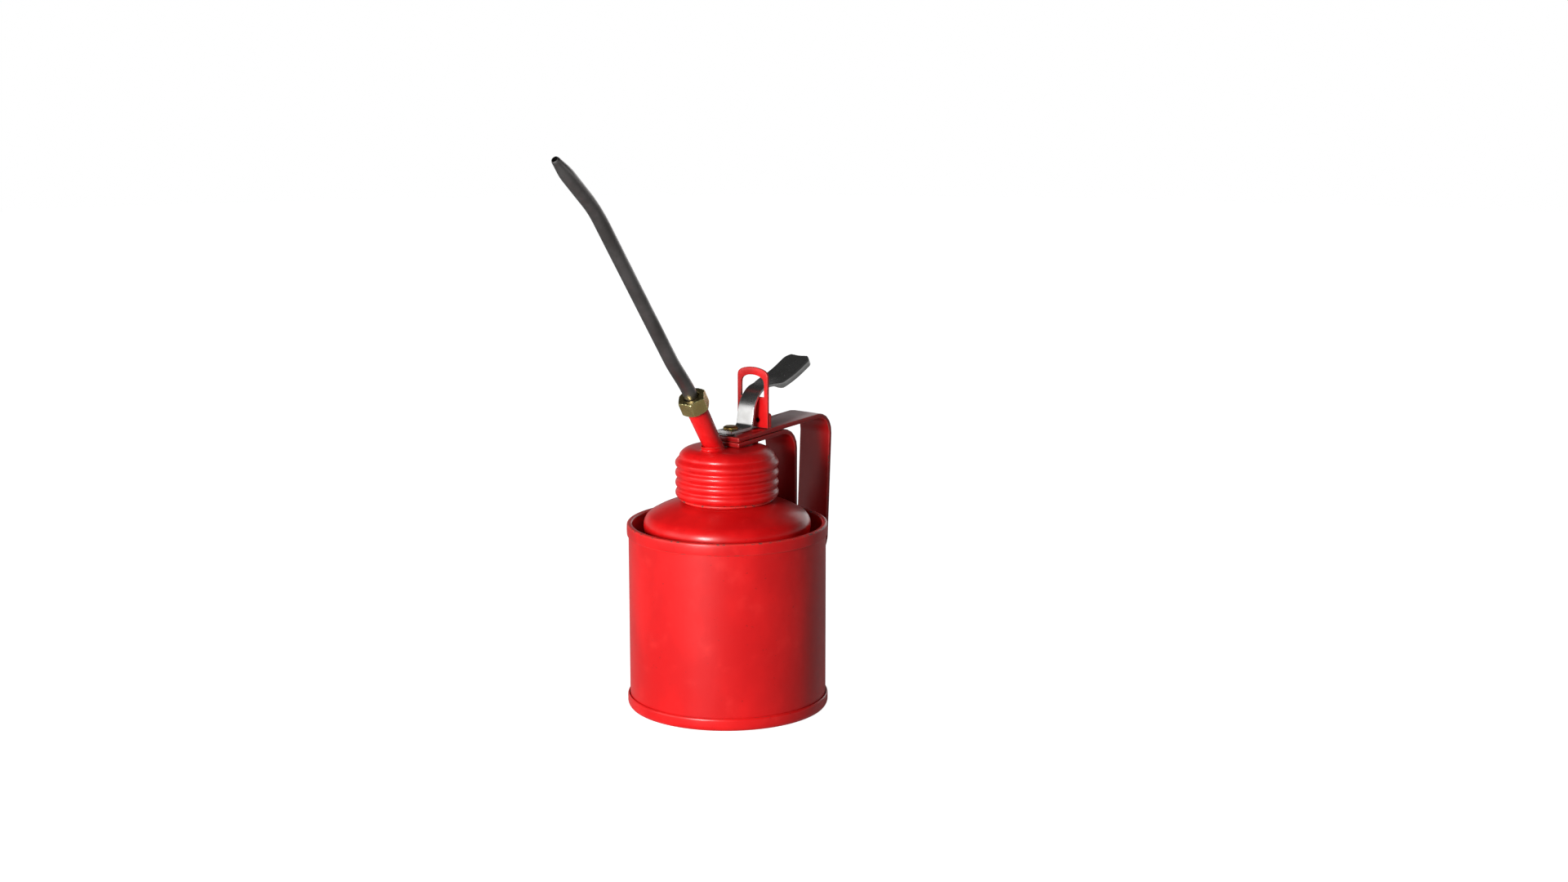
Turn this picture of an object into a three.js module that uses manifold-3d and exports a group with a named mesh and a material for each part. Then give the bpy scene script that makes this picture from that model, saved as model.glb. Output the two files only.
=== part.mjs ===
// A thumb-pump oil can: a round tin with a screwed-on head that carries the pump, the lever, the two
// strap handles and a long bent spout. Millimetres, +Z up. The spout leans towards -X and the handle
// is on the +X side. Every piece is placed about the can's own axis, and the whole is moved at the end
// so that the origin is the middle of its footprint.
import * as THREE from 'three';
import { mergeVertices } from 'three/addons/utils/BufferGeometryUtils.js';
import Module from 'manifold-3d';

const wasm = await Module();
wasm.setup();

// Fits
const SEAT_GAP = 0.3;          // between pieces that are fixed to each other
const RUNNING_GAP = 0.05;      // radial, between pieces that slide in each other
const ROUND = 40;              // sides of a large round piece
const SMALL_ROUND = 16;        // sides of a small round piece
const BEND_STEPS = 5;          // chords in a bent sheet's corner

// Can
const BODY_RADIUS = 42.5;
const BODY_WALL = 0.6;
const RIM_TOP = 80.9;
const RIM_DEPTH = 5.1;         // how far the top's rolled edge hangs down outside the wall
const RIM_PROUD = 0.8;         // how far the rolled edges stand out from the wall
const END_SHEET = 0.7;         // sheet of the bottom and the shoulder
const FOOT_PROUD = 1.0;
const FOOT_HEIGHT = 5.8;
const BOTTOM_RECESS = 3.2;
const GUTTER_DEPTH = 12;
const SHOULDER_RADIUS = BODY_RADIUS - 6.4;
const SHOULDER_Z = RIM_TOP - 0.9;
const SHOULDER_ROUND = 6;
const SHOULDER_TURN = 62;      // degrees of the rounded shoulder before the cone begins
const DOME_TOP = RIM_TOP + 9.6;
const DOME_RISE = 2.3;         // of the cone's outer part under its top
const EDGE_SOFT = 0.5;         // rounding of rolled sheet edges

// Neck and screw cap
const NECK_RADIUS = 19.2;
const NECK_WALL = 1.5;
const NECK_TOP = DOME_TOP + 18.1;
const NECK_FLANGE = 2.2;
const NECK_BEAD = 1.0;         // how far the ring at the neck's root stands out
const THREAD_START = 1.6;      // from the cap's lower edge to the middle of the neck's ridge
const THREAD_PITCH = 4.3;
const THREAD_RADIUS = 1.0;
const THREAD_SINK = 0.2;       // the ridge's centre lies this far from the wall it stands on
const THREAD_TURNS = 3;
const THREAD_STEPS = 16;       // chords in one turn
const CAP_VALLEY_RADIUS = NECK_RADIUS + 2.2;
const CAP_WALL = 0.8;
const CAP_BOTTOM = DOME_TOP + 1.4;
const CAP_TOP = CAP_BOTTOM + 22;
const CAP_RIB_HEIGHT = 0.8;
const CAP_RIBS = 4;
const CAP_FIRST_RIB = CAP_BOTTOM + 2.2;
const CAP_LEDGE = 1.0;         // step in above the top rib
const CAP_SHOULDER = 5.1;      // radius of the cap's rounded upper edge
const CAP_CROWN = 0.1;         // how much higher the cap's middle is than its edge
const GASKET_THICK = 1.6;
const GASKET_WIDTH = 2.2;

// Straps
const STRAP_WIDTH = 16.4;
const STRAP_THICK = 2.0;
const STRAP_RISE = 0.0356;     // the straps climb this much per millimetre towards the handle
const STRAP_RIVET_X = NECK_RADIUS - 5;
const STRAP_RIVET_Y = 4.5;
const PUMP_X = STRAP_RIVET_X - 11.6;
const STRAP_FRONT = PUMP_X - 4.8;
const HANDLE_REACH = BODY_RADIUS + 22.9;     // centre of the handle's upright from the can's axis, at its top
const HANDLE_LEAN = 3.2;       // how much closer the upright is at its knee
const HANDLE_KNEE_Z = RIM_TOP - 20.9;
const HANDLE_FOOT_Z = RIM_TOP - 34.9;
const HANDLE_FOOT_END = RIM_TOP - 47.9;
const HANDLE_BEND = 9;
const HANDLE_CLEAR = 0.6;
const BRACE_REACH = BODY_RADIUS - 3.8;
const BRACE_BEND = 9;
const BRACE_CLEAR = 1.3;

// Guide plates that the lever rocks in
const GUIDE_X = STRAP_RIVET_X + 3.65;
const GUIDE_THICK = 1.3;
const GUIDE_SHOULDER_Z = CAP_TOP + 29;
const GUIDE_CROWN = 2.9;
const WINDOW_BOTTOM = CAP_TOP + 19.1;
const WINDOW_TOP = CAP_TOP + 26.7;
const WINDOW_CROWN = 1.8;
const WINDOW_WIDTH = 12.3;
const BACKING_TOP = CAP_TOP + 12.7;
const RIVET_RADIUS = 1.2;
const RIVET_HEAD = 2.1;
const RIVET_HEAD_THICK = 0.8;
const GUIDE_RIVET_Y = 3;
const GUIDE_RIVET_Z = CAP_TOP + 9;

// Thumb lever
const LEVER_SHEET = 1.2;
const LEVER_WIDTH = 8.5;
const LEVER_PAD_WIDTH = 14;
const LEVER_PAD_X = GUIDE_X + 13.15;
const LEVER_END_X = GUIDE_X + 34.15;
const LEVER_END_Z = CAP_TOP + 32.3;
const LEVER_BACK_SET = 5.6;    // from the guide forward to the lever's upright
const LEVER_BEND = 1.7;
const RAMP_BACK_SET = 3.45;    // from the guide forward to the ramp that climbs through the window
const RAMP_DROP = 2.3;         // from the window's lower edge down to the ramp's foot
const CREST_BEYOND = 1.85;     // from the guide's front back to the ramp's top
const CREST_RISE = 3.3;        // from the window's lower edge up to the ramp's top
const ARM_START = 5.65;        // from the guide's front back to where the arm runs nearly level
const ARM_RISE = 0.5;
const ARM_SLOPE = 0.144;
const PAD_BEND = 12;
const PAD_NECK = 8;            // length of the flare from the arm's width to the pad's
const PAD_ROUND = 3.5;         // of the pad's two outer corners
const LEVER_SWING_SLOT = 3.6;  // how far the lever's foot draws back round the rod
const LIP_DROP = 2.0;

// Pump
const ROD_RADIUS = 1.5;
const ROD_HOLE_GAP = 0.4;
const ROD_HEAD_RADIUS = 3.2;
const ROD_HEAD_THICK = 1.3;
const BARREL_RADIUS = 6.8;
const BARREL_WALL = 0.8;
const BARREL_BOTTOM = CAP_TOP - 67.9;
const BARREL_LIP = 1;          // how far the barrel's lower edge turns in
const BARREL_FLANGE = 2.0;
const BARREL_FLANGE_THICK = 1.2;
const GLAND_LENGTH = 6;
const PISTON_Z = BARREL_BOTTOM + 16;
const PISTON_THICK = 3;
const CUP_THICK = 1.4;
const PISTON_NUT_THICK = 2.2;
const PISTON_NUT_RADIUS = 3.2;
const SPRING_WIRE = 0.5;
const SPRING_RADIUS = 4.0;
const SPRING_TURNS = 7;
const SPRING_STEPS = 10;       // chords in one turn
const SEAT_THICK = 6.2;
const SEAT_BORE = 1.7;
const FOOT_BALL_RADIUS = 2.4;
const DIP_RADIUS = 2.5;
const DIP_WALL = 0.7;
const DIP_FOOT_Z = 11;
const STRAINER_RADIUS = 4.2;
const STRAINER_HEIGHT = 6;
const STRAINER_Z = 6.5;
const STRAINER_WALL = 0.7;
const STRAINER_SLOT = 1.2;

// Spout and its socket
const SOCKET_X = STRAP_FRONT - 7;
const SOCKET_FOOT_SHIFT = 0.3; // from the socket's foot to where the delivery tube comes up
const SOCKET_TILT = THREE.MathUtils.degToRad(31);
const SOCKET_RADIUS = 4.5;
const SOCKET_BORE = 3.4;
const SOCKET_LENGTH = 24.5;
const SOCKET_FILLET = 1.3;
const DELIVERY_RADIUS = 1.9;
const DELIVERY_BORE = 1.1;
const DELIVERY_PORT_Z = CAP_TOP - 14.9;
const DELIVERY_END = 5;        // how far up the socket the delivery tube ends
const OUTLET_BALL_RADIUS = 2.3;
const NUT_FLATS = 11.2;
const NUT_HEIGHT = 6.8;
const NUT_ROOF = 2.0;
const NUT_BITE = 2.6;          // how far the nut hangs down over the socket
const SPOUT_RADIUS = 3.0;
const SPOUT_BORE = 2.2;
const SPOUT_START = 14;        // how far up the socket the spout tube begins
const SPOUT_STRAIGHT_X = SOCKET_X - 28.2;
const SPOUT_STRAIGHT_Z = CAP_TOP + 42.3;
const SPOUT_TILT = THREE.MathUtils.degToRad(34.9);
const SPOUT_BEND_Z = CAP_TOP + 107.6;
const SPOUT_TIP_TILT = THREE.MathUtils.degToRad(47);
const SPOUT_BEND_REACH = 7;    // from the bend's corner to where it starts and ends
const SPOUT_TIP_LENGTH = 31;   // from the bend's corner to the open end
const SPOUT_TAPER = 10;
const SPOUT_TIP_SHARE = 0.5;   // the tip's radius over the tube's
const SPOUT_STEPS = 36;
const OLIVE_THICK = 1.5;

// Finishes
const RED = { color: 0xc81e1e, roughness: 0.38, metalness: 0.1 };
const STEEL = { color: 0x6c6c6a, roughness: 0.35, metalness: 0.9 };
const BRIGHT = { color: 0xb4b6b5, roughness: 0.25, metalness: 0.95 };
const BRASS = { color: 0xb9a04a, roughness: 0.32, metalness: 0.95 };
const RUBBER = { color: 0x24221f, roughness: 0.85, metalness: 0.0 };

// Values that follow from the ones above
const HOLD = BODY_RADIUS - BODY_WALL - SEAT_GAP;       // outside of what fits in the wall
const CAP_BORE = CAP_VALLEY_RADIUS - CAP_WALL;
const STRAP_BOTTOM = CAP_TOP + SEAT_GAP - STRAP_RISE * STRAP_FRONT;
const STRAP_TOP = STRAP_BOTTOM + 2 * STRAP_THICK + SEAT_GAP;
const HOLD_EDGE_GAP = BODY_RADIUS + SEAT_GAP;
const GUIDE_BASE = STRAP_TOP + STRAP_RISE * (GUIDE_X + 3 * GUIDE_THICK) + SEAT_GAP;
const FOOT_TOP = STRAP_TOP + STRAP_RISE * GUIDE_X + SEAT_GAP + LEVER_SHEET;
const ROD_HEAD_Z = FOOT_TOP + SEAT_GAP;
const BARREL_TOP = CAP_TOP - CAP_WALL - SEAT_GAP;
const BARREL_BORE = BARREL_RADIUS - BARREL_WALL;
const SOCKET_Z = CAP_TOP + SEAT_GAP;
const NUT_START = SOCKET_LENGTH - NUT_BITE;

const group = new THREE.Group();

// A named mesh in its own material.
function piece(name, geometry, finish) {
  const mesh = new THREE.Mesh(geometry, new THREE.MeshStandardMaterial(finish));
  mesh.name = name;
  group.add(mesh);
  return mesh;
}

// A turned piece from (radius, height) points about the Z axis.
function turned(points, sides = ROUND) {
  const outline = points.map(([radius, height]) => new THREE.Vector2(radius, height));
  if (THREE.ShapeUtils.area(outline) < 0) outline.reverse();
  if (outline[0].x !== 0) outline.push(outline[0].clone());
  return new THREE.LatheGeometry(outline, sides).rotateX(Math.PI / 2);
}

function toSolid(geometry) {
  const bare = geometry.index ? geometry.toNonIndexed() : geometry.clone();
  bare.deleteAttribute('normal');
  bare.deleteAttribute('uv');
  const merged = mergeVertices(bare, 1e-4);
  const mesh = new wasm.Mesh({
    numProp: 3,
    vertProperties: new Float32Array(merged.attributes.position.array),
    triVerts: new Uint32Array(merged.index.array),
  });
  return new wasm.Manifold(mesh);
}

function toGeometry(solid) {
  const mesh = solid.getMesh();
  const geometry = new THREE.BufferGeometry();
  geometry.setAttribute('position', new THREE.BufferAttribute(new Float32Array(mesh.vertProperties), 3));
  geometry.setIndex(new THREE.BufferAttribute(new Uint32Array(mesh.triVerts), 1));
  geometry.computeVertexNormals();
  return geometry;
}

function cut(geometry, ...tools) {
  return toGeometry(tools.reduce((solid, tool) => solid.subtract(toSolid(tool)), toSolid(geometry)));
}

function join(geometry, ...others) {
  return toGeometry(others.reduce((solid, other) => solid.add(toSolid(other)), toSolid(geometry)));
}

// A lathe outline with the sheet's thickness laid off to the left of the given line.
function sheetOutline(line, thickness) {
  const inner = line.map((point, i) => {
    const before = line[Math.max(i - 1, 0)];
    const after = line[Math.min(i + 1, line.length - 1)];
    const run = Math.hypot(after[0] - before[0], after[1] - before[1]);
    const across = [-(after[1] - before[1]) / run, (after[0] - before[0]) / run];
    return [point[0] + across[0] * thickness, point[1] + across[1] * thickness];
  });
  return [...line, ...inner.reverse()];
}

// Points of an arc about (radius, height), angles in degrees from the outward direction.
function arcPoints(centre, radius, from, to, steps) {
  return Array.from({ length: steps + 1 }, (_, i) => {
    const angle = THREE.MathUtils.degToRad(from + (to - from) * i / steps);
    return [centre[0] + radius * Math.cos(angle), centre[1] + radius * Math.sin(angle)];
  });
}

// An outline in X and Z, pushed out to the given width about the XZ plane.
function slab(shape, width) {
  const geometry = new THREE.ExtrudeGeometry(shape, { depth: width, bevelEnabled: false });
  return geometry.rotateX(Math.PI / 2).translate(0, width / 2, 0);
}

// The line through the given corners, each corner but the ends rounded to a bend radius.
function bentLine(corners, bend, steps = BEND_STEPS) {
  const line = [corners[0].clone()];
  for (let i = 1; i < corners.length - 1; i += 1) {
    const back = corners[i - 1].clone().sub(corners[i]).normalize();
    const on = corners[i + 1].clone().sub(corners[i]).normalize();
    const half = Math.acos(THREE.MathUtils.clamp(back.dot(on), -1, 1)) / 2;
    const reach = bend / Math.tan(half);
    const curve = new THREE.QuadraticBezierCurve(
      corners[i].clone().addScaledVector(back, reach),
      corners[i].clone(),
      corners[i].clone().addScaledVector(on, reach),
    );
    line.push(...curve.getPoints(steps));
  }
  line.push(corners[corners.length - 1].clone());
  return line;
}

// The outline of a bent sheet of even thickness about a line.
function sheetShape(line, thickness) {
  const sides = [1, -1].map((side) => line.map((point, i) => {
    const before = line[Math.max(i - 1, 0)];
    const after = line[Math.min(i + 1, line.length - 1)];
    const along = after.clone().sub(before).normalize();
    return new THREE.Vector2(-along.y, along.x).multiplyScalar(side * thickness / 2).add(point);
  }));
  return new THREE.Shape([...sides[0], ...sides[1].reverse()]);
}

const at = (x, z) => new THREE.Vector2(x, z);
const rod = (radius, bottom, top, sides = SMALL_ROUND) =>
  turned([[0, bottom], [radius, bottom], [radius, top], [0, top]], sides);
const ring = (inner, outer, bottom, top, sides = SMALL_ROUND) =>
  turned([[inner, bottom], [outer, bottom], [outer, top], [inner, top]], sides);
const box = (x0, x1, y0, y1, z0, z1) => new THREE.BoxGeometry(x1 - x0, y1 - y0, z1 - z0)
  .translate((x0 + x1) / 2, (y0 + y1) / 2, (z0 + z1) / 2);

// The strap line's height above the axis crossing at a given X.
const rise = (x) => STRAP_RISE * x;

// ---- The can ---------------------------------------------------------------------------------------

function canBody() {
  const bottom = END_SHEET + SEAT_GAP;
  const top = RIM_TOP - END_SHEET - SEAT_GAP;
  piece('can_body', ring(BODY_RADIUS - BODY_WALL, BODY_RADIUS, bottom, top, ROUND), RED);
}

function bottomEnd() {
  const outer = BODY_RADIUS + FOOT_PROUD;
  const inner = HOLD - END_SHEET;
  const toe = END_SHEET + EDGE_SOFT;
  piece('bottom_end', turned([
    [0, BOTTOM_RECESS], [inner, BOTTOM_RECESS], [inner, 0], [outer - toe, 0], [outer, toe],
    [outer, FOOT_HEIGHT - EDGE_SOFT], [outer - EDGE_SOFT / 2, FOOT_HEIGHT], [HOLD_EDGE_GAP, FOOT_HEIGHT],
    [HOLD_EDGE_GAP, END_SHEET], [HOLD, END_SHEET], [HOLD, BOTTOM_RECESS + END_SHEET],
    [0, BOTTOM_RECESS + END_SHEET],
  ]), RED);
}

// The gutter's outer wall, its floor, the rounded shoulder and the shallow cone up to the neck.
function shoulderDome() {
  const wall = HOLD - END_SHEET;
  const floor = RIM_TOP - GUTTER_DEPTH;
  const foot = SHOULDER_RADIUS - 1;
  const neckHole = NECK_RADIUS + SEAT_GAP;
  const outer = BODY_RADIUS + RIM_PROUD;
  const centre = [SHOULDER_RADIUS - SHOULDER_ROUND, SHOULDER_Z];
  const shoulder = arcPoints(centre, SHOULDER_ROUND, 0, SHOULDER_TURN, 4);
  const upper = [
    [wall, RIM_TOP - EDGE_SOFT], [wall, floor + 1], [wall - 1, floor], [foot + 1, floor], [foot, floor + 1],
    [foot + 0.5, SHOULDER_Z - 4], ...shoulder,
    [(SHOULDER_RADIUS + NECK_RADIUS) / 2 - 1.25, DOME_TOP - DOME_RISE], [neckHole, DOME_TOP],
  ];
  const under = sheetOutline(upper, END_SHEET).slice(upper.length);
  const underCone = under.slice(0, -1).map(([radius, height]) => [Math.max(radius, neckHole), height]);
  piece('shoulder_dome', turned([
    [outer, RIM_TOP - RIM_DEPTH], [outer, RIM_TOP - EDGE_SOFT], [outer - EDGE_SOFT, RIM_TOP],
    [wall + EDGE_SOFT, RIM_TOP],
    ...upper, ...underCone, [HOLD, RIM_TOP - END_SHEET], [HOLD_EDGE_GAP, RIM_TOP - END_SHEET],
    [HOLD_EDGE_GAP, RIM_TOP - RIM_DEPTH],
  ]), RED);
}

const circle = (radius, chords) => new THREE.Path().absarc(0, 0, radius, 0, 2 * Math.PI).getPoints(chords);

// The section of a round tube.
function tubeSection(outer, inner, chords) {
  const section = new THREE.Shape(circle(outer, chords));
  section.holes.push(new THREE.Path(circle(inner, chords)));
  return section;
}

// A ridge wound round the axis, for the neck's and the cap's screw threads.
function threadRidge(radius, start, turns) {
  const steps = THREAD_STEPS * turns;
  const points = Array.from({ length: steps + 1 }, (_, i) => {
    const angle = 2 * Math.PI * turns * i / steps;
    return new THREE.Vector3(radius * Math.cos(angle), radius * Math.sin(angle),
      start + THREAD_PITCH * turns * i / steps);
  });
  const section = new THREE.Shape(circle(THREAD_RADIUS, 3));
  return new THREE.ExtrudeGeometry(section, {
    steps, bevelEnabled: false, extrudePath: new THREE.CatmullRomCurve3(points),
  });
}

function neckCollar() {
  const bore = NECK_RADIUS - NECK_WALL;
  const under = DOME_TOP - 2 * END_SHEET - SEAT_GAP;
  const seat = CAP_BOTTOM - SEAT_GAP;
  const bead = NECK_RADIUS + NECK_BEAD;
  const collar = turned([
    [bore, under - 1], [NECK_RADIUS + NECK_FLANGE, under - 1], [NECK_RADIUS + NECK_FLANGE, under - 0.2],
    [NECK_RADIUS, under], [NECK_RADIUS, DOME_TOP + SEAT_GAP], [bead, DOME_TOP + SEAT_GAP],
    [bead, seat - 0.2], [NECK_RADIUS, seat], [NECK_RADIUS, NECK_TOP], [bore, NECK_TOP],
  ]);
  const ridge = threadRidge(NECK_RADIUS + THREAD_SINK, CAP_BOTTOM + THREAD_START, THREAD_TURNS);
  piece('neck_collar', join(collar, ridge), RED);
}

// ---- The head: cap, straps and guide ---------------------------------------------------------------

// The cap's rounded upper edge, its outline moved out by the given distance.
function capShoulder(out, from) {
  const centre = [CAP_VALLEY_RADIUS - CAP_LEDGE - CAP_SHOULDER, CAP_TOP - CAP_CROWN - CAP_SHOULDER];
  return arcPoints(centre, CAP_SHOULDER + out, from, 90, 5);
}

function capLine() {
  const ribs = Array.from({ length: CAP_RIBS }, (_, i) => CAP_FIRST_RIB + i * THREAD_PITCH);
  const half = THREAD_PITCH * 0.32;
  const crest = CAP_VALLEY_RADIUS + CAP_RIB_HEIGHT;
  const soft = 0.15;
  const ribPoints = ribs.flatMap((z) => [
    [CAP_VALLEY_RADIUS, z - half], [crest - soft, z - half / 2], [crest, z],
    [crest - soft, z + half / 2], [CAP_VALLEY_RADIUS, z + half],
  ]);
  return [[CAP_VALLEY_RADIUS - 2 * soft, CAP_BOTTOM], ...ribPoints, ...capShoulder(0, 8), [0, CAP_TOP]];
}

// The space the cap takes, grown by a gap, for cutting what stands on it.
function capEnvelope(gap) {
  const edge = CAP_VALLEY_RADIUS + gap;
  return turned([[0, CAP_BOTTOM], [edge, CAP_BOTTOM], ...capShoulder(gap, 0), [0, CAP_TOP + gap]]);
}

function screwCap() {
  const ceiling = CAP_TOP - CAP_CROWN - CAP_WALL;
  const shoulderFoot = CAP_FIRST_RIB + (CAP_RIBS - 1) * THREAD_PITCH + 1.2;
  const inside = capShoulder(-CAP_WALL, 5).reverse();
  const shell = turned([
    ...capLine(), [0, ceiling], ...inside, [CAP_BORE, shoulderFoot], [CAP_BORE, CAP_BOTTOM],
  ]);
  const turns = THREAD_TURNS - 1;
  const ridge = threadRidge(CAP_BORE + THREAD_SINK, CAP_BOTTOM + THREAD_START + THREAD_PITCH / 2, turns);
  const holes = [
    rod(ROD_RADIUS + ROD_HOLE_GAP, CAP_BOTTOM, CAP_TOP + 1).translate(PUMP_X, 0, 0),
    rod(DELIVERY_RADIUS + 3 * SEAT_GAP, ceiling - 2, CAP_TOP + 1)
      .translate(SOCKET_X + SOCKET_FOOT_SHIFT, 0, 0),
    ...[1, -1].map((side) => rod(RIVET_RADIUS + SEAT_GAP, CAP_BOTTOM, CAP_TOP + 1)
      .translate(STRAP_RIVET_X, side * STRAP_RIVET_Y, 0)),
  ];
  piece('screw_cap', cut(join(shell, ridge), ...holes), RED);
}

function neckGasket() {
  const bottom = NECK_TOP + SEAT_GAP;
  const outer = NECK_RADIUS - 0.6;
  piece('neck_gasket', ring(outer - GASKET_WIDTH, outer, bottom, bottom + GASKET_THICK, ROUND), RUBBER);
}

// The holes through both straps: the pump rod's and the two countersunk rivets'.
function strapHoles() {
  const top = STRAP_TOP + rise(STRAP_RIVET_X);
  const rivets = [1, -1].map((side) => turned([
    [0, CAP_TOP - 2], [RIVET_RADIUS + SEAT_GAP, CAP_TOP - 2],
    [RIVET_RADIUS + SEAT_GAP, top - RIVET_HEAD_THICK - SEAT_GAP], [RIVET_HEAD + SEAT_GAP, top + 0.2],
    [0, top + 0.2],
  ], SMALL_ROUND).translate(STRAP_RIVET_X, side * STRAP_RIVET_Y, 0));
  const rodHole = rod(ROD_RADIUS + ROD_HOLE_GAP, CAP_TOP - 2, STRAP_TOP + 2).translate(PUMP_X, 0, 0);
  return [rodHole, ...rivets];
}

function handleStrap() {
  const z = STRAP_TOP - STRAP_THICK / 2;
  const footX = BODY_RADIUS + HANDLE_CLEAR + STRAP_THICK / 2;
  const line = bentLine([
    at(STRAP_FRONT, z + rise(STRAP_FRONT)), at(HANDLE_REACH, z + rise(HANDLE_REACH)),
    at(HANDLE_REACH - HANDLE_LEAN, HANDLE_KNEE_Z), at(footX, HANDLE_FOOT_Z), at(footX, HANDLE_FOOT_END),
  ], HANDLE_BEND);
  piece('handle_strap', cut(slab(sheetShape(line, STRAP_THICK), STRAP_WIDTH), ...strapHoles()), RED);
}

function braceStrap() {
  const z = STRAP_BOTTOM + STRAP_THICK / 2;
  const end = RIM_TOP - GUTTER_DEPTH + BRACE_CLEAR;
  const line = bentLine([
    at(STRAP_FRONT, z + rise(STRAP_FRONT)), at(BRACE_REACH, z + rise(BRACE_REACH)), at(BRACE_REACH, end),
  ], BRACE_BEND);
  const gutterWall = HOLD - END_SHEET - 0.5;
  const beyond = ring(gutterWall, BODY_RADIUS + 8, end - 1, RIM_TOP + 3, ROUND);
  const strap = slab(sheetShape(line, STRAP_THICK), STRAP_WIDTH);
  piece('brace_strap', cut(strap, beyond, ...strapHoles()), RED);
}

function strapRivet(name, y) {
  const top = STRAP_TOP + rise(STRAP_RIVET_X - RIVET_HEAD);
  const under = CAP_TOP - CAP_CROWN - CAP_WALL - 2 * SEAT_GAP;
  piece(name, turned([
    [0, under - RIVET_HEAD_THICK], [RIVET_HEAD, under - RIVET_HEAD_THICK], [RIVET_HEAD, under],
    [RIVET_RADIUS, under], [RIVET_RADIUS, top - RIVET_HEAD_THICK], [RIVET_HEAD, top], [0, top],
  ], SMALL_ROUND).translate(STRAP_RIVET_X, y, 0), RED);
}

// A flat plate facing along X, drawn in Y and Z.
function plate(shape, x, thickness) {
  const geometry = new THREE.ExtrudeGeometry(shape, {
    depth: thickness, bevelEnabled: false, curveSegments: 8,
  });
  return geometry.rotateX(Math.PI / 2).rotateZ(Math.PI / 2).translate(x, 0, 0);
}

// An upright outline with a crowned top, between two heights.
function crowned(width, bottom, shoulder, crown) {
  const shape = new THREE.Shape();
  shape.moveTo(-width / 2, bottom);
  shape.lineTo(width / 2, bottom);
  shape.lineTo(width / 2, shoulder);
  shape.quadraticCurveTo(0, shoulder + 2 * crown, -width / 2, shoulder);
  return shape;
}

function guideRivetHole() {
  return [1, -1].map((side) => rod(RIVET_RADIUS + SEAT_GAP, 0, 8 * GUIDE_THICK).rotateY(Math.PI / 2)
    .translate(GUIDE_X - GUIDE_THICK, side * GUIDE_RIVET_Y, GUIDE_RIVET_Z));
}

function leverGuide() {
  const shape = crowned(STRAP_WIDTH, GUIDE_BASE, GUIDE_SHOULDER_Z, GUIDE_CROWN);
  shape.holes.push(crowned(WINDOW_WIDTH, WINDOW_BOTTOM, WINDOW_TOP, WINDOW_CROWN));
  piece('lever_guide', cut(plate(shape, GUIDE_X, GUIDE_THICK), ...guideRivetHole()), RED);
  const back = crowned(STRAP_WIDTH, GUIDE_BASE, BACKING_TOP, 0);
  const backX = GUIDE_X + GUIDE_THICK + SEAT_GAP;
  piece('guide_backing', cut(plate(back, backX, GUIDE_THICK), ...guideRivetHole()), RED);
}

function guideRivet(name, y) {
  const length = 2 * GUIDE_THICK + SEAT_GAP;
  piece(name, turned([
    [0, 0], [RIVET_RADIUS, 0], [RIVET_RADIUS, length + SEAT_GAP], [RIVET_HEAD, length + SEAT_GAP],
    [RIVET_HEAD * 0.7, length + SEAT_GAP + RIVET_HEAD_THICK], [0, length + SEAT_GAP + RIVET_HEAD_THICK],
  ], SMALL_ROUND).rotateY(Math.PI / 2).translate(GUIDE_X, y, GUIDE_RIVET_Z), RED);
}

// ---- The lever -------------------------------------------------------------------------------------

// The plan of the thumb pad: a flare from the arm's width, straight sides and a rounded end.
function padPlan() {
  const side = LEVER_PAD_WIDTH / 2;
  const arm = LEVER_WIDTH / 2;
  const start = LEVER_PAD_X - PAD_NECK;
  const ease = LEVER_PAD_X - 3;
  const full = LEVER_PAD_X + 3;
  const plan = new THREE.Shape();
  plan.moveTo(start, -arm);
  plan.bezierCurveTo(ease, -arm, ease, -side, full, -side);
  plan.lineTo(LEVER_END_X - PAD_ROUND, -side);
  plan.quadraticCurveTo(LEVER_END_X, -side, LEVER_END_X, PAD_ROUND - side);
  plan.lineTo(LEVER_END_X, side - PAD_ROUND);
  plan.quadraticCurveTo(LEVER_END_X, side, LEVER_END_X - PAD_ROUND, side);
  plan.lineTo(full, side);
  plan.bezierCurveTo(ease, side, ease, arm, start, arm);
  return plan;
}

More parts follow.
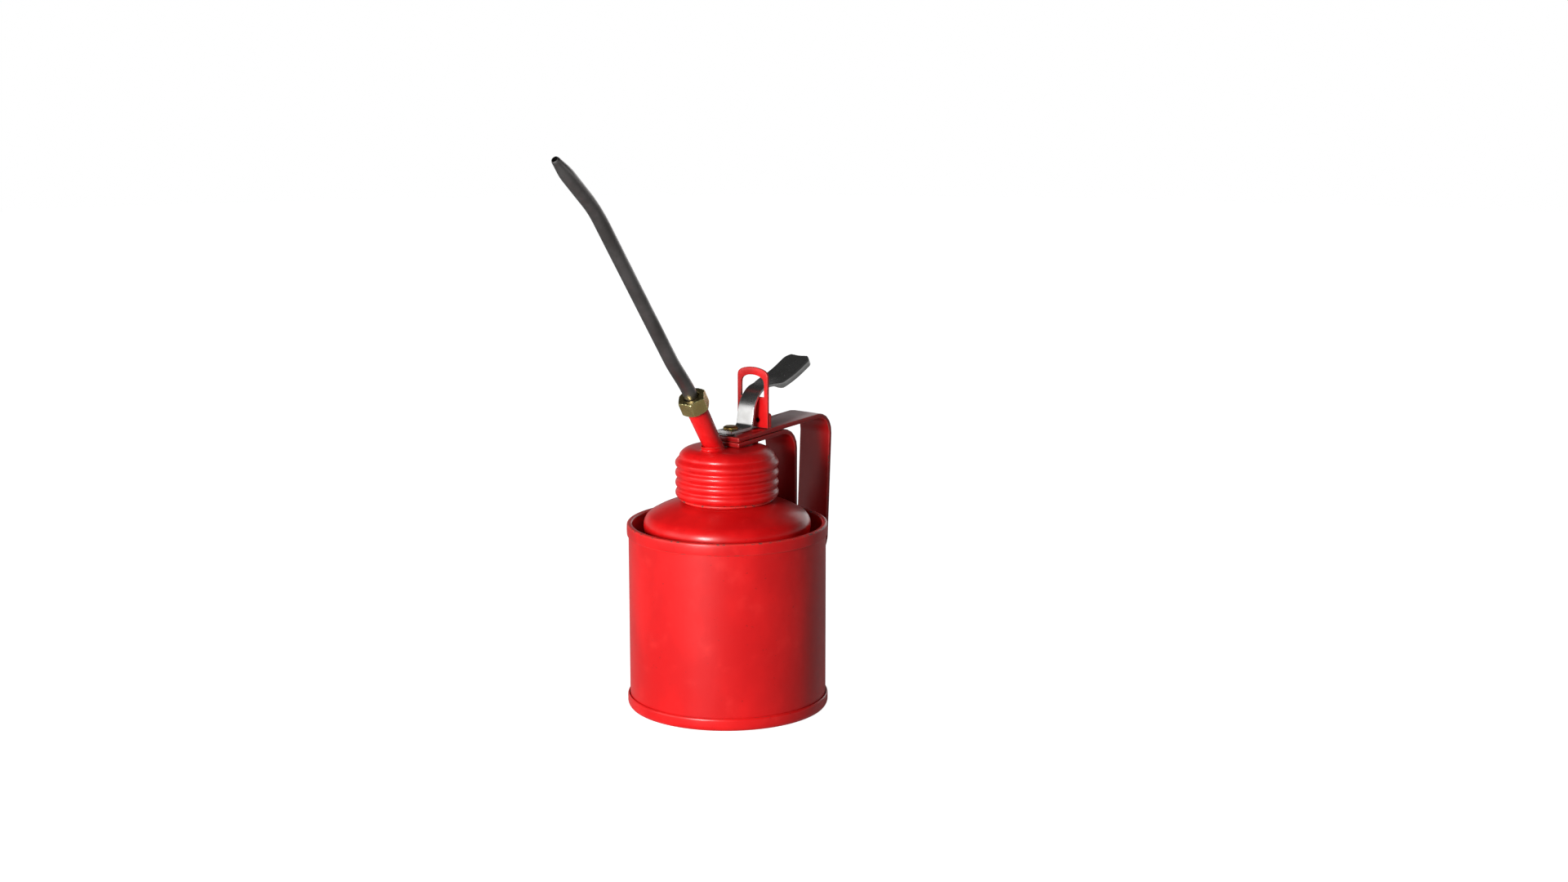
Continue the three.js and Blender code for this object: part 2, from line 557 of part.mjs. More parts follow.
function thumbLever() {
  const half = LEVER_SHEET / 2;
  const foot = FOOT_TOP - half;
  const crest = WINDOW_BOTTOM + CREST_RISE;
  const armX = GUIDE_X + ARM_START;
  const arm = (x) => crest + ARM_RISE + ARM_SLOPE * (x - armX);
  const strip = bentLine([
    at(STRAP_FRONT + half, foot), at(GUIDE_X - LEVER_BACK_SET, foot),
    at(GUIDE_X - RAMP_BACK_SET, WINDOW_BOTTOM - RAMP_DROP), at(GUIDE_X + CREST_BEYOND, crest),
    at(armX, arm(armX)), at(LEVER_PAD_X + 1, arm(LEVER_PAD_X + 1)),
  ], LEVER_BEND, 4);
  const pad = bentLine([
    at(LEVER_PAD_X, arm(LEVER_PAD_X)), at(LEVER_PAD_X + 9, arm(LEVER_PAD_X) + 2.7),
    at(LEVER_END_X, LEVER_END_Z),
  ], PAD_BEND, 4);
  const tall = 40;
  const low = LEVER_END_Z - 0.75 * tall;
  const column = () => new THREE.ExtrudeGeometry(padPlan(), {
    depth: tall, bevelEnabled: false, curveSegments: 6,
  });
  const side = LEVER_PAD_WIDTH / 2;
  const padLine = [at(LEVER_PAD_X - PAD_NECK, arm(LEVER_PAD_X - PAD_NECK)), ...pad];
  const outer = toSolid(column().translate(0, 0, low));
  const padSheet = toSolid(slab(sheetShape(padLine, LEVER_SHEET), 2 * side)).intersect(outer);
  const lipLine = padLine.map((point) => at(point.x, point.y - LIP_DROP / 2));
  const lipSheet = toSolid(slab(sheetShape(lipLine, LEVER_SHEET + LIP_DROP), 2 * side));
  const hollow = column().scale(1, (side - LEVER_SHEET * 0.8) / side, 1).translate(0, 0, low);
  const neckOnly = box(0, LEVER_PAD_X - 1, -side, side, crest - 20, crest + 30);
  const lips = lipSheet.intersect(outer).subtract(toSolid(hollow)).subtract(toSolid(neckOnly));
  const slotWidth = ROD_RADIUS + ROD_HOLE_GAP;
  const slotEnd = PUMP_X + LEVER_SWING_SLOT + slotWidth;
  const slot = [
    rod(slotWidth, foot - 3, foot + 3).translate(PUMP_X, 0, 0),
    box(PUMP_X, slotEnd, -slotWidth, slotWidth, foot - 3, foot + 3),
  ];
  const body = slab(sheetShape(strip, LEVER_SHEET), LEVER_WIDTH);
  const stem = toSolid(body).add(padSheet).add(lips);
  piece('thumb_lever', toGeometry(slot.reduce((solid, tool) => solid.subtract(toSolid(tool)), stem)), BRIGHT);
}

// ---- The pump --------------------------------------------------------------------------------------

const onPump = (geometry) => geometry.translate(PUMP_X, 0, 0);

function pumpBarrel() {
  const lip = BARREL_BORE - BARREL_LIP;
  const barrel = turned([
    [lip, BARREL_BOTTOM], [BARREL_RADIUS, BARREL_BOTTOM], [BARREL_RADIUS, BARREL_TOP - BARREL_FLANGE_THICK],
    [BARREL_RADIUS + BARREL_FLANGE, BARREL_TOP - BARREL_FLANGE_THICK],
    [BARREL_RADIUS + BARREL_FLANGE, BARREL_TOP], [BARREL_BORE, BARREL_TOP],
    [BARREL_BORE, BARREL_BOTTOM + BARREL_WALL], [lip, BARREL_BOTTOM + BARREL_WALL],
  ], SMALL_ROUND);
  const port = rod(DELIVERY_BORE, 0, BARREL_RADIUS + 2).rotateY(-Math.PI / 2)
    .translate(0, 0, DELIVERY_PORT_Z);
  piece('pump_barrel', onPump(cut(barrel, port)), STEEL);
  const glandRadius = BARREL_BORE - SEAT_GAP;
  const gland = ring(ROD_RADIUS + RUNNING_GAP, glandRadius, BARREL_TOP - GLAND_LENGTH, BARREL_TOP);
  piece('gland_nut', onPump(gland), BRASS);
}

function plunger() {
  const bore = ROD_RADIUS + SEAT_GAP;
  const fit = BARREL_BORE - RUNNING_GAP;
  const cupZ = PISTON_Z - SEAT_GAP - CUP_THICK;
  const nutZ = cupZ - SEAT_GAP - PISTON_NUT_THICK;
  piece('pump_rod', onPump(rod(ROD_RADIUS, nutZ, ROD_HEAD_Z - SEAT_GAP)), STEEL);
  piece('rod_head', onPump(turned([
    [0, ROD_HEAD_Z], [ROD_HEAD_RADIUS, ROD_HEAD_Z], [ROD_HEAD_RADIUS, ROD_HEAD_Z + ROD_HEAD_THICK * 0.6],
    [ROD_HEAD_RADIUS * 0.75, ROD_HEAD_Z + ROD_HEAD_THICK], [0, ROD_HEAD_Z + ROD_HEAD_THICK],
  ], SMALL_ROUND)), BRASS);
  piece('piston', onPump(ring(bore, fit, PISTON_Z, PISTON_Z + PISTON_THICK)), BRASS);
  piece('piston_cup', onPump(turned([
    [bore, cupZ], [fit - 1.2, cupZ], [fit, cupZ - 1.6], [fit, cupZ + CUP_THICK], [bore, cupZ + CUP_THICK],
  ], SMALL_ROUND)), RUBBER);
  piece('piston_nut', onPump(ring(bore, PISTON_NUT_RADIUS, nutZ, nutZ + PISTON_NUT_THICK, 6)), BRASS);
}

function returnSpring() {
  const bottom = PISTON_Z + PISTON_THICK + SEAT_GAP + SPRING_WIRE;
  const top = BARREL_TOP - GLAND_LENGTH - SEAT_GAP - SPRING_WIRE;
  const steps = SPRING_STEPS * SPRING_TURNS;
  const points = Array.from({ length: steps + 1 }, (_, i) => {
    const angle = 2 * Math.PI * SPRING_TURNS * i / steps;
    return new THREE.Vector3(SPRING_RADIUS * Math.cos(angle), SPRING_RADIUS * Math.sin(angle),
      bottom + (top - bottom) * i / steps);
  });
  const wire = new THREE.Shape(circle(SPRING_WIRE, 3));
  piece('return_spring', onPump(new THREE.ExtrudeGeometry(wire, {
    steps, bevelEnabled: false, extrudePath: new THREE.CatmullRomCurve3(points),
  })), STEEL);
}

function footValve() {
  const bottom = BARREL_BOTTOM + BARREL_WALL + SEAT_GAP;
  const top = bottom + SEAT_THICK;
  const radius = BARREL_BORE - SEAT_GAP;
  const socket = DIP_RADIUS + SEAT_GAP;
  piece('foot_valve_seat', onPump(turned([
    [socket, bottom], [radius, bottom], [radius, top], [SEAT_BORE + 1, top], [SEAT_BORE, top - 1],
    [SEAT_BORE, top - 2.4], [socket, top - 2.4],
  ], SMALL_ROUND)), BRASS);
  const rest = Math.sqrt(FOOT_BALL_RADIUS ** 2 - SEAT_BORE ** 2);
  const ball = new THREE.SphereGeometry(FOOT_BALL_RADIUS, 12, 8);
  piece('foot_ball', onPump(ball.translate(0, 0, top - 1 + rest + SEAT_GAP)), BRIGHT);
  const dipTop = top - 2.4 - SEAT_GAP;
  piece('dip_tube', onPump(ring(DIP_RADIUS - DIP_WALL, DIP_RADIUS, DIP_FOOT_Z, dipTop)), STEEL);
}

function strainer() {
  const neck = DIP_RADIUS + SEAT_GAP;
  const roof = STRAINER_Z + STRAINER_HEIGHT;
  const cup = turned([
    [0, STRAINER_Z], [STRAINER_RADIUS, STRAINER_Z], [STRAINER_RADIUS, roof], [neck, roof],
    [neck, roof - STRAINER_WALL], [STRAINER_RADIUS - STRAINER_WALL, roof - STRAINER_WALL],
    [STRAINER_RADIUS - STRAINER_WALL, STRAINER_Z + STRAINER_WALL], [0, STRAINER_Z + STRAINER_WALL],
  ], SMALL_ROUND);
  const reach = STRAINER_RADIUS + 1;
  const half = STRAINER_SLOT / 2;
  const slots = [0, 1, 2].map((i) => box(-reach, reach, -half, half, STRAINER_Z + 1.4, roof - 1.6)
    .rotateZ(i * Math.PI / 3));
  piece('strainer', onPump(cut(cup, ...slots)), BRASS);
}

// ---- The spout -------------------------------------------------------------------------------------

// Leans a piece made on the Z axis over onto the socket's line.
const onSocket = (geometry) => geometry.rotateY(-SOCKET_TILT).translate(SOCKET_X, 0, SOCKET_Z);
const socketPoint = (along) => new THREE.Vector3(
  SOCKET_X - along * Math.sin(SOCKET_TILT), 0, SOCKET_Z + along * Math.cos(SOCKET_TILT));

function spoutSocket() {
  const flare = SOCKET_RADIUS + SOCKET_FILLET;
  const blank = onSocket(turned([
    [SOCKET_BORE, -5], [flare, -5], [flare, 0], [SOCKET_RADIUS + 0.3, SOCKET_FILLET],
    [SOCKET_RADIUS, SOCKET_FILLET * 2.4], [SOCKET_RADIUS, SOCKET_LENGTH], [SOCKET_BORE, SOCKET_LENGTH],
  ], SMALL_ROUND));
  const strapFront = box(STRAP_FRONT - SEAT_GAP, 20, -STRAP_WIDTH, STRAP_WIDTH, CAP_TOP - 9, STRAP_TOP + 9);
  piece('spout_socket', cut(blank, capEnvelope(SEAT_GAP), strapFront), RED);
}

function deliveryTube() {
  const wall = PUMP_X - BARREL_RADIUS - SEAT_GAP;
  const end = socketPoint(DELIVERY_END);
  const path = new THREE.CatmullRomCurve3([
    new THREE.Vector3(wall, 0, DELIVERY_PORT_Z), new THREE.Vector3(wall - 2.4, 0, DELIVERY_PORT_Z + 0.3),
    new THREE.Vector3(wall - 4.2, 0, DELIVERY_PORT_Z + 4),
    new THREE.Vector3(SOCKET_X + SOCKET_FOOT_SHIFT, 0, CAP_TOP - 4),
    socketPoint(0), end,
  ]);
  const section = tubeSection(DELIVERY_RADIUS, DELIVERY_BORE, 5);
  piece('delivery_tube', new THREE.ExtrudeGeometry(section, {
    steps: 14, bevelEnabled: false, extrudePath: path,
  }), STEEL);
  const seat = Math.sqrt(OUTLET_BALL_RADIUS ** 2 - DELIVERY_BORE ** 2);
  const ball = new THREE.SphereGeometry(OUTLET_BALL_RADIUS, 12, 8);
  piece('outlet_ball', onSocket(ball.translate(0, 0, DELIVERY_END + seat + SEAT_GAP)), BRIGHT);
}

function unionNut() {
  const corner = NUT_FLATS / 2 / Math.cos(Math.PI / 6);
  const end = NUT_START + NUT_HEIGHT;
  const roof = end - NUT_ROOF;
  const hexagon = rod(corner, NUT_START, end, 6);
  const chamfer = turned([
    [0, NUT_START], [corner - 0.7, NUT_START], [corner + 0.1, NUT_START + 0.9], [corner + 0.1, end - 0.9],
    [corner - 0.7, end], [0, end],
  ], SMALL_ROUND);
  const bore = turned([
    [0, NUT_START - 1], [SOCKET_RADIUS + SEAT_GAP, NUT_START - 1], [SOCKET_RADIUS + SEAT_GAP, roof],
    [SPOUT_RADIUS + SEAT_GAP, roof], [SPOUT_RADIUS + SEAT_GAP, end + 1], [0, end + 1],
  ], SMALL_ROUND);
  const nut = toSolid(hexagon).intersect(toSolid(chamfer)).subtract(toSolid(bore));
  piece('union_nut', onSocket(toGeometry(nut)), BRASS);
  const olive = SOCKET_LENGTH + SEAT_GAP;
  const inner = SPOUT_RADIUS + SEAT_GAP / 2;
  piece('spout_olive', onSocket(ring(inner, SOCKET_RADIUS, olive, olive + OLIVE_THICK)), BRASS);
}

function spoutPath() {
  const lean = (tilt) => new THREE.Vector3(-Math.sin(tilt), 0, Math.cos(tilt));
  const start = socketPoint(SPOUT_START);
  const exit = socketPoint(NUT_START + NUT_HEIGHT + 1);
  const straight = new THREE.Vector3(SPOUT_STRAIGHT_X, 0, SPOUT_STRAIGHT_Z);
  const run = (SPOUT_BEND_Z - SPOUT_STRAIGHT_Z) / Math.cos(SPOUT_TILT);
  const corner = straight.clone().addScaledVector(lean(SPOUT_TILT), run);
  const bendStart = corner.clone().addScaledVector(lean(SPOUT_TILT), -SPOUT_BEND_REACH);
  const bendEnd = corner.clone().addScaledVector(lean(SPOUT_TIP_TILT), SPOUT_BEND_REACH);
  const tip = corner.clone().addScaledVector(lean(SPOUT_TIP_TILT), SPOUT_TIP_LENGTH);
  const reach = exit.distanceTo(straight) / 3;
  const path = new THREE.CurvePath();
  path.add(new THREE.LineCurve3(start, exit));
  path.add(new THREE.CubicBezierCurve3(exit, exit.clone().addScaledVector(lean(SOCKET_TILT), reach),
    straight.clone().addScaledVector(lean(SPOUT_TILT), -reach), straight));
  path.add(new THREE.LineCurve3(straight, bendStart));
  path.add(new THREE.QuadraticBezierCurve3(bendStart, corner, bendEnd));
  path.add(new THREE.LineCurve3(bendEnd, tip));
  return { path, tip, along: lean(SPOUT_TIP_TILT) };
}

// The tube's last stretch is swaged down to a fine open end.
function taper(geometry, tip, along) {
  const position = geometry.attributes.position;
  const point = new THREE.Vector3();
  for (let i = 0; i < position.count; i += 1) {
    point.fromBufferAttribute(position, i).sub(tip);
    const depth = point.dot(along) + SPOUT_TAPER;
    if (depth > 0) {
      const share = 1 - (1 - SPOUT_TIP_SHARE) * depth / SPOUT_TAPER;
      const onAxis = along.clone().multiplyScalar(depth - SPOUT_TAPER);
      point.sub(onAxis).multiplyScalar(share).add(onAxis);
      position.setXYZ(i, point.x + tip.x, point.y + tip.y, point.z + tip.z);
    }
  }
  return geometry;
}

function spoutTube() {
  const { path, tip, along } = spoutPath();
  const section = tubeSection(SPOUT_RADIUS, SPOUT_BORE, 6);
  const tube = new THREE.ExtrudeGeometry(section, {
    steps: SPOUT_STEPS, bevelEnabled: false, extrudePath: path,
  });
  piece('spout_tube', taper(tube, tip, along), STEEL);
}

// ---- Assembly --------------------------------------------------------------------------------------

canBody();
bottomEnd();
shoulderDome();
neckCollar();
neckGasket();
screwCap();
spoutSocket();
handleStrap();
braceStrap();
leverGuide();
strapRivet('strap_rivet_1', STRAP_RIVET_Y);
strapRivet('strap_rivet_2', -STRAP_RIVET_Y);
guideRivet('guide_rivet_1', GUIDE_RIVET_Y);
guideRivet('guide_rivet_2', -GUIDE_RIVET_Y);
thumbLever();
pumpBarrel();
plunger();
returnSpring();
footValve();
strainer();
deliveryTube();
unionNut();
spoutTube();

// The origin is the middle of the footprint of the whole object.
const bounds = new THREE.Box3().setFromObject(group, true);
group.position.x = -(bounds.min.x + bounds.max.x) / 2;
group.position.z = -bounds.min.z;

export default group;
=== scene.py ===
# A thumb-pump oil can: the tin, the neck, the screwed head with its straps and guide, the lever, the
# spout in its brass nut, and the pump inside. Lengths in metres.
import math

import bmesh
import bpy
from mathutils import Matrix, Vector


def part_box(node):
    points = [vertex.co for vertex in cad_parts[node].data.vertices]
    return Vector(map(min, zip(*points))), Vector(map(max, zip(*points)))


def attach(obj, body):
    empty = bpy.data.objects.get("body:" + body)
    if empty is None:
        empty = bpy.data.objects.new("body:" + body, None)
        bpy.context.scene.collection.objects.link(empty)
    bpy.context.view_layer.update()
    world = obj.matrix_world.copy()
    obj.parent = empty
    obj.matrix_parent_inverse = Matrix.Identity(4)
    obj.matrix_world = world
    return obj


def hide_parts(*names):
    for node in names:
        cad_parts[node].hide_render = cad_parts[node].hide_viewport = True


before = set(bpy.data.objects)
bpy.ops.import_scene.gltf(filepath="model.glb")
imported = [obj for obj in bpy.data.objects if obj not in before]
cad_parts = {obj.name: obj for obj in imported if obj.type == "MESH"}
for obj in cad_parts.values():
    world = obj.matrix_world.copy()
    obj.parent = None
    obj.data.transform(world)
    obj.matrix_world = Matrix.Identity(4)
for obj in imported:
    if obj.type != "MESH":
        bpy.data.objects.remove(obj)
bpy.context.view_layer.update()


# Studio floor, camera and lights.
# A pale sweep under soft light: one lamp from the front left, weaker and broader ones behind and at
# the side, and a bright surround that the gloss picks up along the edges.
can_low, can_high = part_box("can_body")
AXIS_X = (can_low.x + can_high.x) / 2
AXIS = Vector((AXIS_X, 0, 0))

floor_mesh = bmesh.new()
bmesh.ops.create_circle(floor_mesh, cap_ends=True, segments=96, radius=2.4)
floor_data = bpy.data.meshes.new("floor")
floor_mesh.to_mesh(floor_data)
floor_mesh.free()
floor = bpy.data.objects.new("floor", floor_data)
bpy.context.collection.objects.link(floor)

camera = bpy.data.objects.new("camera", bpy.data.cameras.new("camera"))
camera.data.lens = 55.69
camera.data.sensor_width = 36.0
camera.data.clip_start = 0.01
camera.location = AXIS + Vector((-0.7984, -0.6322, 0.3151))
camera.rotation_euler = Vector((0.7838, 0.5906, -0.1919)).to_track_quat("-Z", "Y").to_euler()
bpy.context.collection.objects.link(camera)
bpy.context.scene.camera = camera
bpy.context.scene.view_settings.view_transform = "Standard"


def lamp(name, place, aim, size, watts):
    """A square area lamp that faces a point."""
    light = bpy.data.lights.new(name, "AREA")
    light.size = size
    light.energy = watts
    holder = bpy.data.objects.new(name, light)
    holder.location = place
    holder.rotation_euler = (Vector(aim) - Vector(place)).to_track_quat("-Z", "Y").to_euler()
    bpy.context.collection.objects.link(holder)


lamp("key_lamp", (-1.5, -0.2, 0.42), (AXIS_X, 0, 0.08), 0.45, 30)
lamp("back_lamp", (1.5, 0.35, 0.3), (AXIS_X, 0, 0.1), 1.1, 4.4)
lamp("side_panel", (-1.1, 0.85, 0.32), (AXIS_X, 0, 0.1), 0.8, 3.6)


# Node maths, used by every finish below.
# A socket is wrapped so that masks and heights are written as sums and products. The floor and the
# surround use it first.
class Value:
    """A number that varies over a surface: a socket in one material's nodes."""

    def __init__(self, finish, socket):
        self.finish, self.socket = finish, socket

    def maths(self, operation, other, swapped=False):
        ends = [other, self] if swapped else [self, other]
        return self.finish.node("ShaderNodeMath", {"operation": operation}, {0: ends[0], 1: ends[1]})

    def __add__(self, other):
        return self.maths("ADD", other)

    def __sub__(self, other):
        return self.maths("SUBTRACT", other)

    def __rsub__(self, other):
        return self.maths("SUBTRACT", other, swapped=True)

    def __mul__(self, other):
        return self.maths("MULTIPLY", other)

    __radd__ = __add__
    __rmul__ = __mul__

    def clamped(self, low, high):
        """0 below low, 1 above high, smooth between."""
        inputs = {"Value": self, "From Min": low, "From Max": high}
        return self.finish.node("ShaderNodeMapRange", {"interpolation_type": "SMOOTHSTEP"}, inputs)


class Finish:
    """The node tree of one material, with its Principled shader ready, or of the surround."""

    def __init__(self, name, world=None):
        self.material = world or bpy.data.materials.new(name)
        self.material.use_nodes = True
        self.tree = self.material.node_tree
        self.shader = self.tree.nodes.get("Principled BSDF")

    def node(self, kind, settings=None, inputs=None, output=0):
        made = self.tree.nodes.new(kind)
        for key, value in (settings or {}).items():
            setattr(made, key, value)
        for key, value in (inputs or {}).items():
            self.feed(made.inputs[key], value)
        return Value(self, made.outputs[output])

    def feed(self, target, value):
        if isinstance(value, Value):
            self.tree.links.new(value.socket, target)
        else:
            target.default_value = value

    def set(self, **inputs):
        for key, value in inputs.items():
            self.feed(self.shader.inputs[key.replace("_", " ")], value)

    def place(self, scale=(1, 1, 1), turn=(0, 0, 0)):
        """The point on the object, stretched and turned."""
        point = self.node("ShaderNodeTexCoord", output="Object")
        return self.node("ShaderNodeMapping", {}, {"Vector": point, "Scale": scale, "Rotation": turn})

    def noise(self, size, detail=3.0, stretch=(1, 1, 1), turn=(0, 0, 0)):
        """Cloudy noise whose patches are about one size across."""
        where = self.place(stretch, turn)
        inputs = {"Vector": where, "Scale": 1 / size, "Detail": detail}
        return self.node("ShaderNodeTexNoise", {}, inputs)

    def mix(self, share, one, other):
        """A colour between two colours."""
        settings = {"data_type": "RGBA"}
        return self.node("ShaderNodeMix", settings, {0: share, 6: one, 7: other}, output=2)

    def bump(self, height, distance, strength=1.0, under=None):
        inputs = {"Height": height, "Distance": distance, "Strength": strength}
        if under:
            inputs["Normal"] = under
        return self.node("ShaderNodeBump", {}, inputs)

    def edge(self):
        """How sharply the surface turns outwards, from the piece's own attribute."""
        return self.node("ShaderNodeAttribute", {"attribute_name": "edge"}, output="Fac")


def rgb(red, green, blue):
    """A colour from screen values of 0 to 255."""
    linear = [((c / 255 + 0.055) / 1.055) ** 2.4 if c > 10 else c / 255 / 12.92 for c in (red, green, blue)]
    return (*linear, 1.0)


pale = Finish("pale_floor")
seen = pale.node("ShaderNodeLightPath", output="Is Camera Ray")
pale.set(Base_Color=(0.5, 0.5, 0.5, 1), Roughness=0.8, Specular_IOR_Level=0.1)
pale.set(Emission_Color=seen * 0.91 + 0.06, Emission_Strength=1.0)
floor.data.materials.append(pale.material)

# The surround is white at eye level and falls off to a dark ceiling, as in a tent open at the top.
world = bpy.data.worlds.new("studio")
world.use_nodes = True
bpy.context.scene.world = world
sky = Finish("studio_sky", world)
direction = sky.node("ShaderNodeTexCoord", output="Generated")
height = sky.node("ShaderNodeSeparateXYZ", {}, {0: direction}, output="Z")
low_wall = 1 - height.clamped(0.0, 0.4)
straight_on = sky.node("ShaderNodeLightPath", output="Is Camera Ray")
soft = sky.node("ShaderNodeLightPath", output="Is Diffuse Ray")
glow = low_wall * 0.5 * (1 - soft * 0.7) + 0.04
backdrop = world.node_tree.nodes["Background"]
backdrop.inputs["Color"].default_value = (1, 1, 1, 1)
sky.feed(backdrop.inputs["Strength"], glow * (1 - straight_on) + straight_on)


# The tin's wall.
# A sheet of tinplate rolled into a tube and soldered, sprayed with red enamel after assembly. The
# paint lies in faint clouds and runs. It is chipped and rougher where hands and rags have rubbed it,
# and a painted highlight in pale pink runs along its edges.
MM = 0.001


def red_enamel(name, seed, clouds=0.03, edge_wear_and_highlight=1.0, shade_and_deeper_red=0.0):
    """Sprayed and stoved enamel over tinplate, rubbed on its edges, with a painted highlight along them."""
    paint = Finish(name)
    drift = paint.noise(clouds, 4.0, stretch=(1, 1, 0.55), turn=(seed, seed * 0.7, 0))
    haze = paint.noise(clouds * 0.3, 5.0, turn=(0, seed, 1.3))
    fresh = rgb(226, 20, 22)
    deep = rgb(206, 10, 14)
    pale_red = rgb(229, 42, 40)
    base = paint.mix(drift.clamped(0.38, 0.66), deep, fresh)
    base = paint.mix(haze.clamped(0.55, 0.8) * 0.45, base, pale_red)
    # Where asked, the colour is mixed toward a dark maroon: painted shade, partly also a deeper red paint.
    if shade_and_deeper_red:
        base = paint.mix(shade_and_deeper_red, base, rgb(58, 5, 7))
    specks = paint.noise(0.0016, 2.0, turn=(seed, 0, 0)).clamped(0.7, 0.76)
    base = paint.mix(specks * 0.35, base, rgb(120, 16, 14))
    grain = paint.noise(0.0022, 3.0, turn=(0, 0, seed))
    # Convex edges are mixed toward pale pink. This is a painted highlight along the edges; the same mask
    # also makes them rougher where rubbed.
    rubbed_edge_and_highlight = (paint.edge() * 1.2 + grain * 0.7 - 0.4).clamped(0.75, 1.15) * edge_wear_and_highlight
    base = paint.mix(rubbed_edge_and_highlight * 0.35, base, rgb(232, 82, 74))
    chipped = (paint.edge() + grain * 1.1 - 0.45).clamped(1.16, 1.2) * edge_wear_and_highlight
    base = paint.mix(chipped * 0.9, base, rgb(92, 70, 62))
    smear = paint.noise(0.05, 3.0, stretch=(1, 1, 0.3), turn=(seed, 0.4, 0))
    peel = paint.noise(0.0032, 2.0)
    run = paint.noise(0.02, 1.0, turn=(0.3, seed, 0))
    skin = paint.bump(peel, 0.00006, 0.22, paint.bump(run, 0.0012, 0.16))
    rough = smear * 0.13 + haze * 0.08 + rubbed_edge_and_highlight * 0.12 + 0.25
    paint.set(Base_Color=base, Roughness=rough, Normal=paint.bump(chipped, -0.00012, 0.5, skin))
    paint.set(Specular_IOR_Level=0.35, Coat_Weight=0.2, Coat_Roughness=0.18)
    return paint.material


def mark_edges(mesh, radius):
    """Stores how sharply each vertex turns outwards, 1 where the bend is tighter than the radius."""
    mesh.normal_update()
    layer = mesh.verts.layers.float.new("edge")
    for vertex in mesh.verts:
        sharpest = 0.0
        for edge in vertex.link_edges:
            if len(edge.link_faces) == 2:
                one, other = (face.calc_center_median() for face in edge.link_faces)
                gap = max((one - other).length, 1e-5)
                sharpest = max(sharpest, edge.calc_face_angle_signed(0.0) * radius / gap)
        vertex[layer] = min(sharpest, 1.0)


def finished(name, mesh, material, body, replaced=(), crease=40, wear_radius=0.8 * MM):
    """Turns a bmesh into the named piece, hangs it on its body and hides the parts it replaces."""
    bmesh.ops.remove_doubles(mesh, verts=mesh.verts, dist=1e-6)
    bmesh.ops.recalc_face_normals(mesh, faces=mesh.faces)
    mark_edges(mesh, wear_radius)
    for face in mesh.faces:
        face.smooth = True
    data = bpy.data.meshes.new(name)
    mesh.to_mesh(data)
    mesh.free()
    data.set_sharp_from_angle(angle=math.radians(crease))
    data.materials.append(material)
    made = bpy.data.objects.new(name, data)
    bpy.context.collection.objects.link(made)
    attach(made, body)
    if replaced:
        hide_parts(*replaced)
    return made


def drawn(mesh, points, closed=True):
    """A line of (across, up, rounding) points in the XZ plane, its corners rounded."""
    corners = [mesh.verts.new((across, 0, up)) for across, up, _ in points]
    pairs = list(zip(corners, corners[1:] + corners[:1])) if closed else list(zip(corners, corners[1:]))
    for one, other in pairs:
        mesh.edges.new((one, other))
    for reach in sorted({point[2] for point in points if point[2]}):
        chosen = [corner for corner, point in zip(corners, points) if point[2] == reach]
        bmesh.ops.bevel(mesh, geom=chosen, offset=reach, offset_type="OFFSET", segments=5,
                        profile=0.5, affect="VERTICES", material=-1)


def spun(points, steps=160, centre=AXIS, closed=True):
    """A piece turned about the upright through centre."""
    mesh = bmesh.new()
    drawn(mesh, points, closed)
    bmesh.ops.spin(mesh, geom=mesh.verts[:] + mesh.edges[:], cent=(0, 0, 0), axis=(0, 0, 1),
                   angle=math.tau, steps=steps, use_merge=True)
    bmesh.ops.remove_doubles(mesh, verts=mesh.verts, dist=1e-6)
    bmesh.ops.translate(mesh, vec=centre, verts=mesh.verts)
    return mesh


can_radius = (can_high.x - can_low.x) / 2
TIN = 0.6 * MM
wall_points = [(can_radius - TIN, can_low.z, 0), (can_radius, can_low.z, 0),
               (can_radius, can_high.z, 0), (can_radius - TIN, can_high.z, 0)]
wall = spun(wall_points, steps=192)
cuts = [can_low.z + (can_high.z - can_low.z) * i / 12 for i in range(1, 12)]
for height in cuts:
    bmesh.ops.bisect_plane(wall, geom=wall.verts[:] + wall.edges[:] + wall.faces[:],
                           plane_co=(0, 0, height), plane_no=(0, 0, 1))
finished("tin_wall", wall, red_enamel("wall_enamel", 1.7, clouds=0.028, edge_wear_and_highlight=0.4), "can",
         ["can_body"])


# The tin's bottom.
# A pressed disc, sunk so that the can stands on its edge, with the edge rolled up round the wall and
# soldered: the lower bead.
end_low, end_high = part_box("bottom_end")
end_radius = (end_high.x - end_low.x) / 2
SHEET = 0.7 * MM
inner_end = can_radius - TIN - 0.3 * MM
lip = can_radius + 0.3 * MM
sunk = 3.2 * MM
bottom_points = [
    (0, sunk, 0), (inner_end - SHEET, sunk, 0.8 * MM), (inner_end - SHEET, 0, 0.3 * MM),
    (end_radius - 1.3 * MM, 0, 0.9 * MM), (end_radius, 1.4 * MM, 0.9 * MM),
    (end_radius, end_high.z - 0.6 * MM, 0.5 * MM), (lip + 0.15 * MM, end_high.z, 0.15 * MM),
    (lip, SHEET, 0), (inner_end, SHEET, 0), (inner_end, sunk + SHEET, 0.6 * MM), (0, sunk + SHEET, 0),
]
finished("tin_bottom", spun(bottom_points, steps=192, closed=False),
         red_enamel("bottom_enamel", 2.9, edge_wear_and_highlight=1.0), "can", ["bottom_end"])


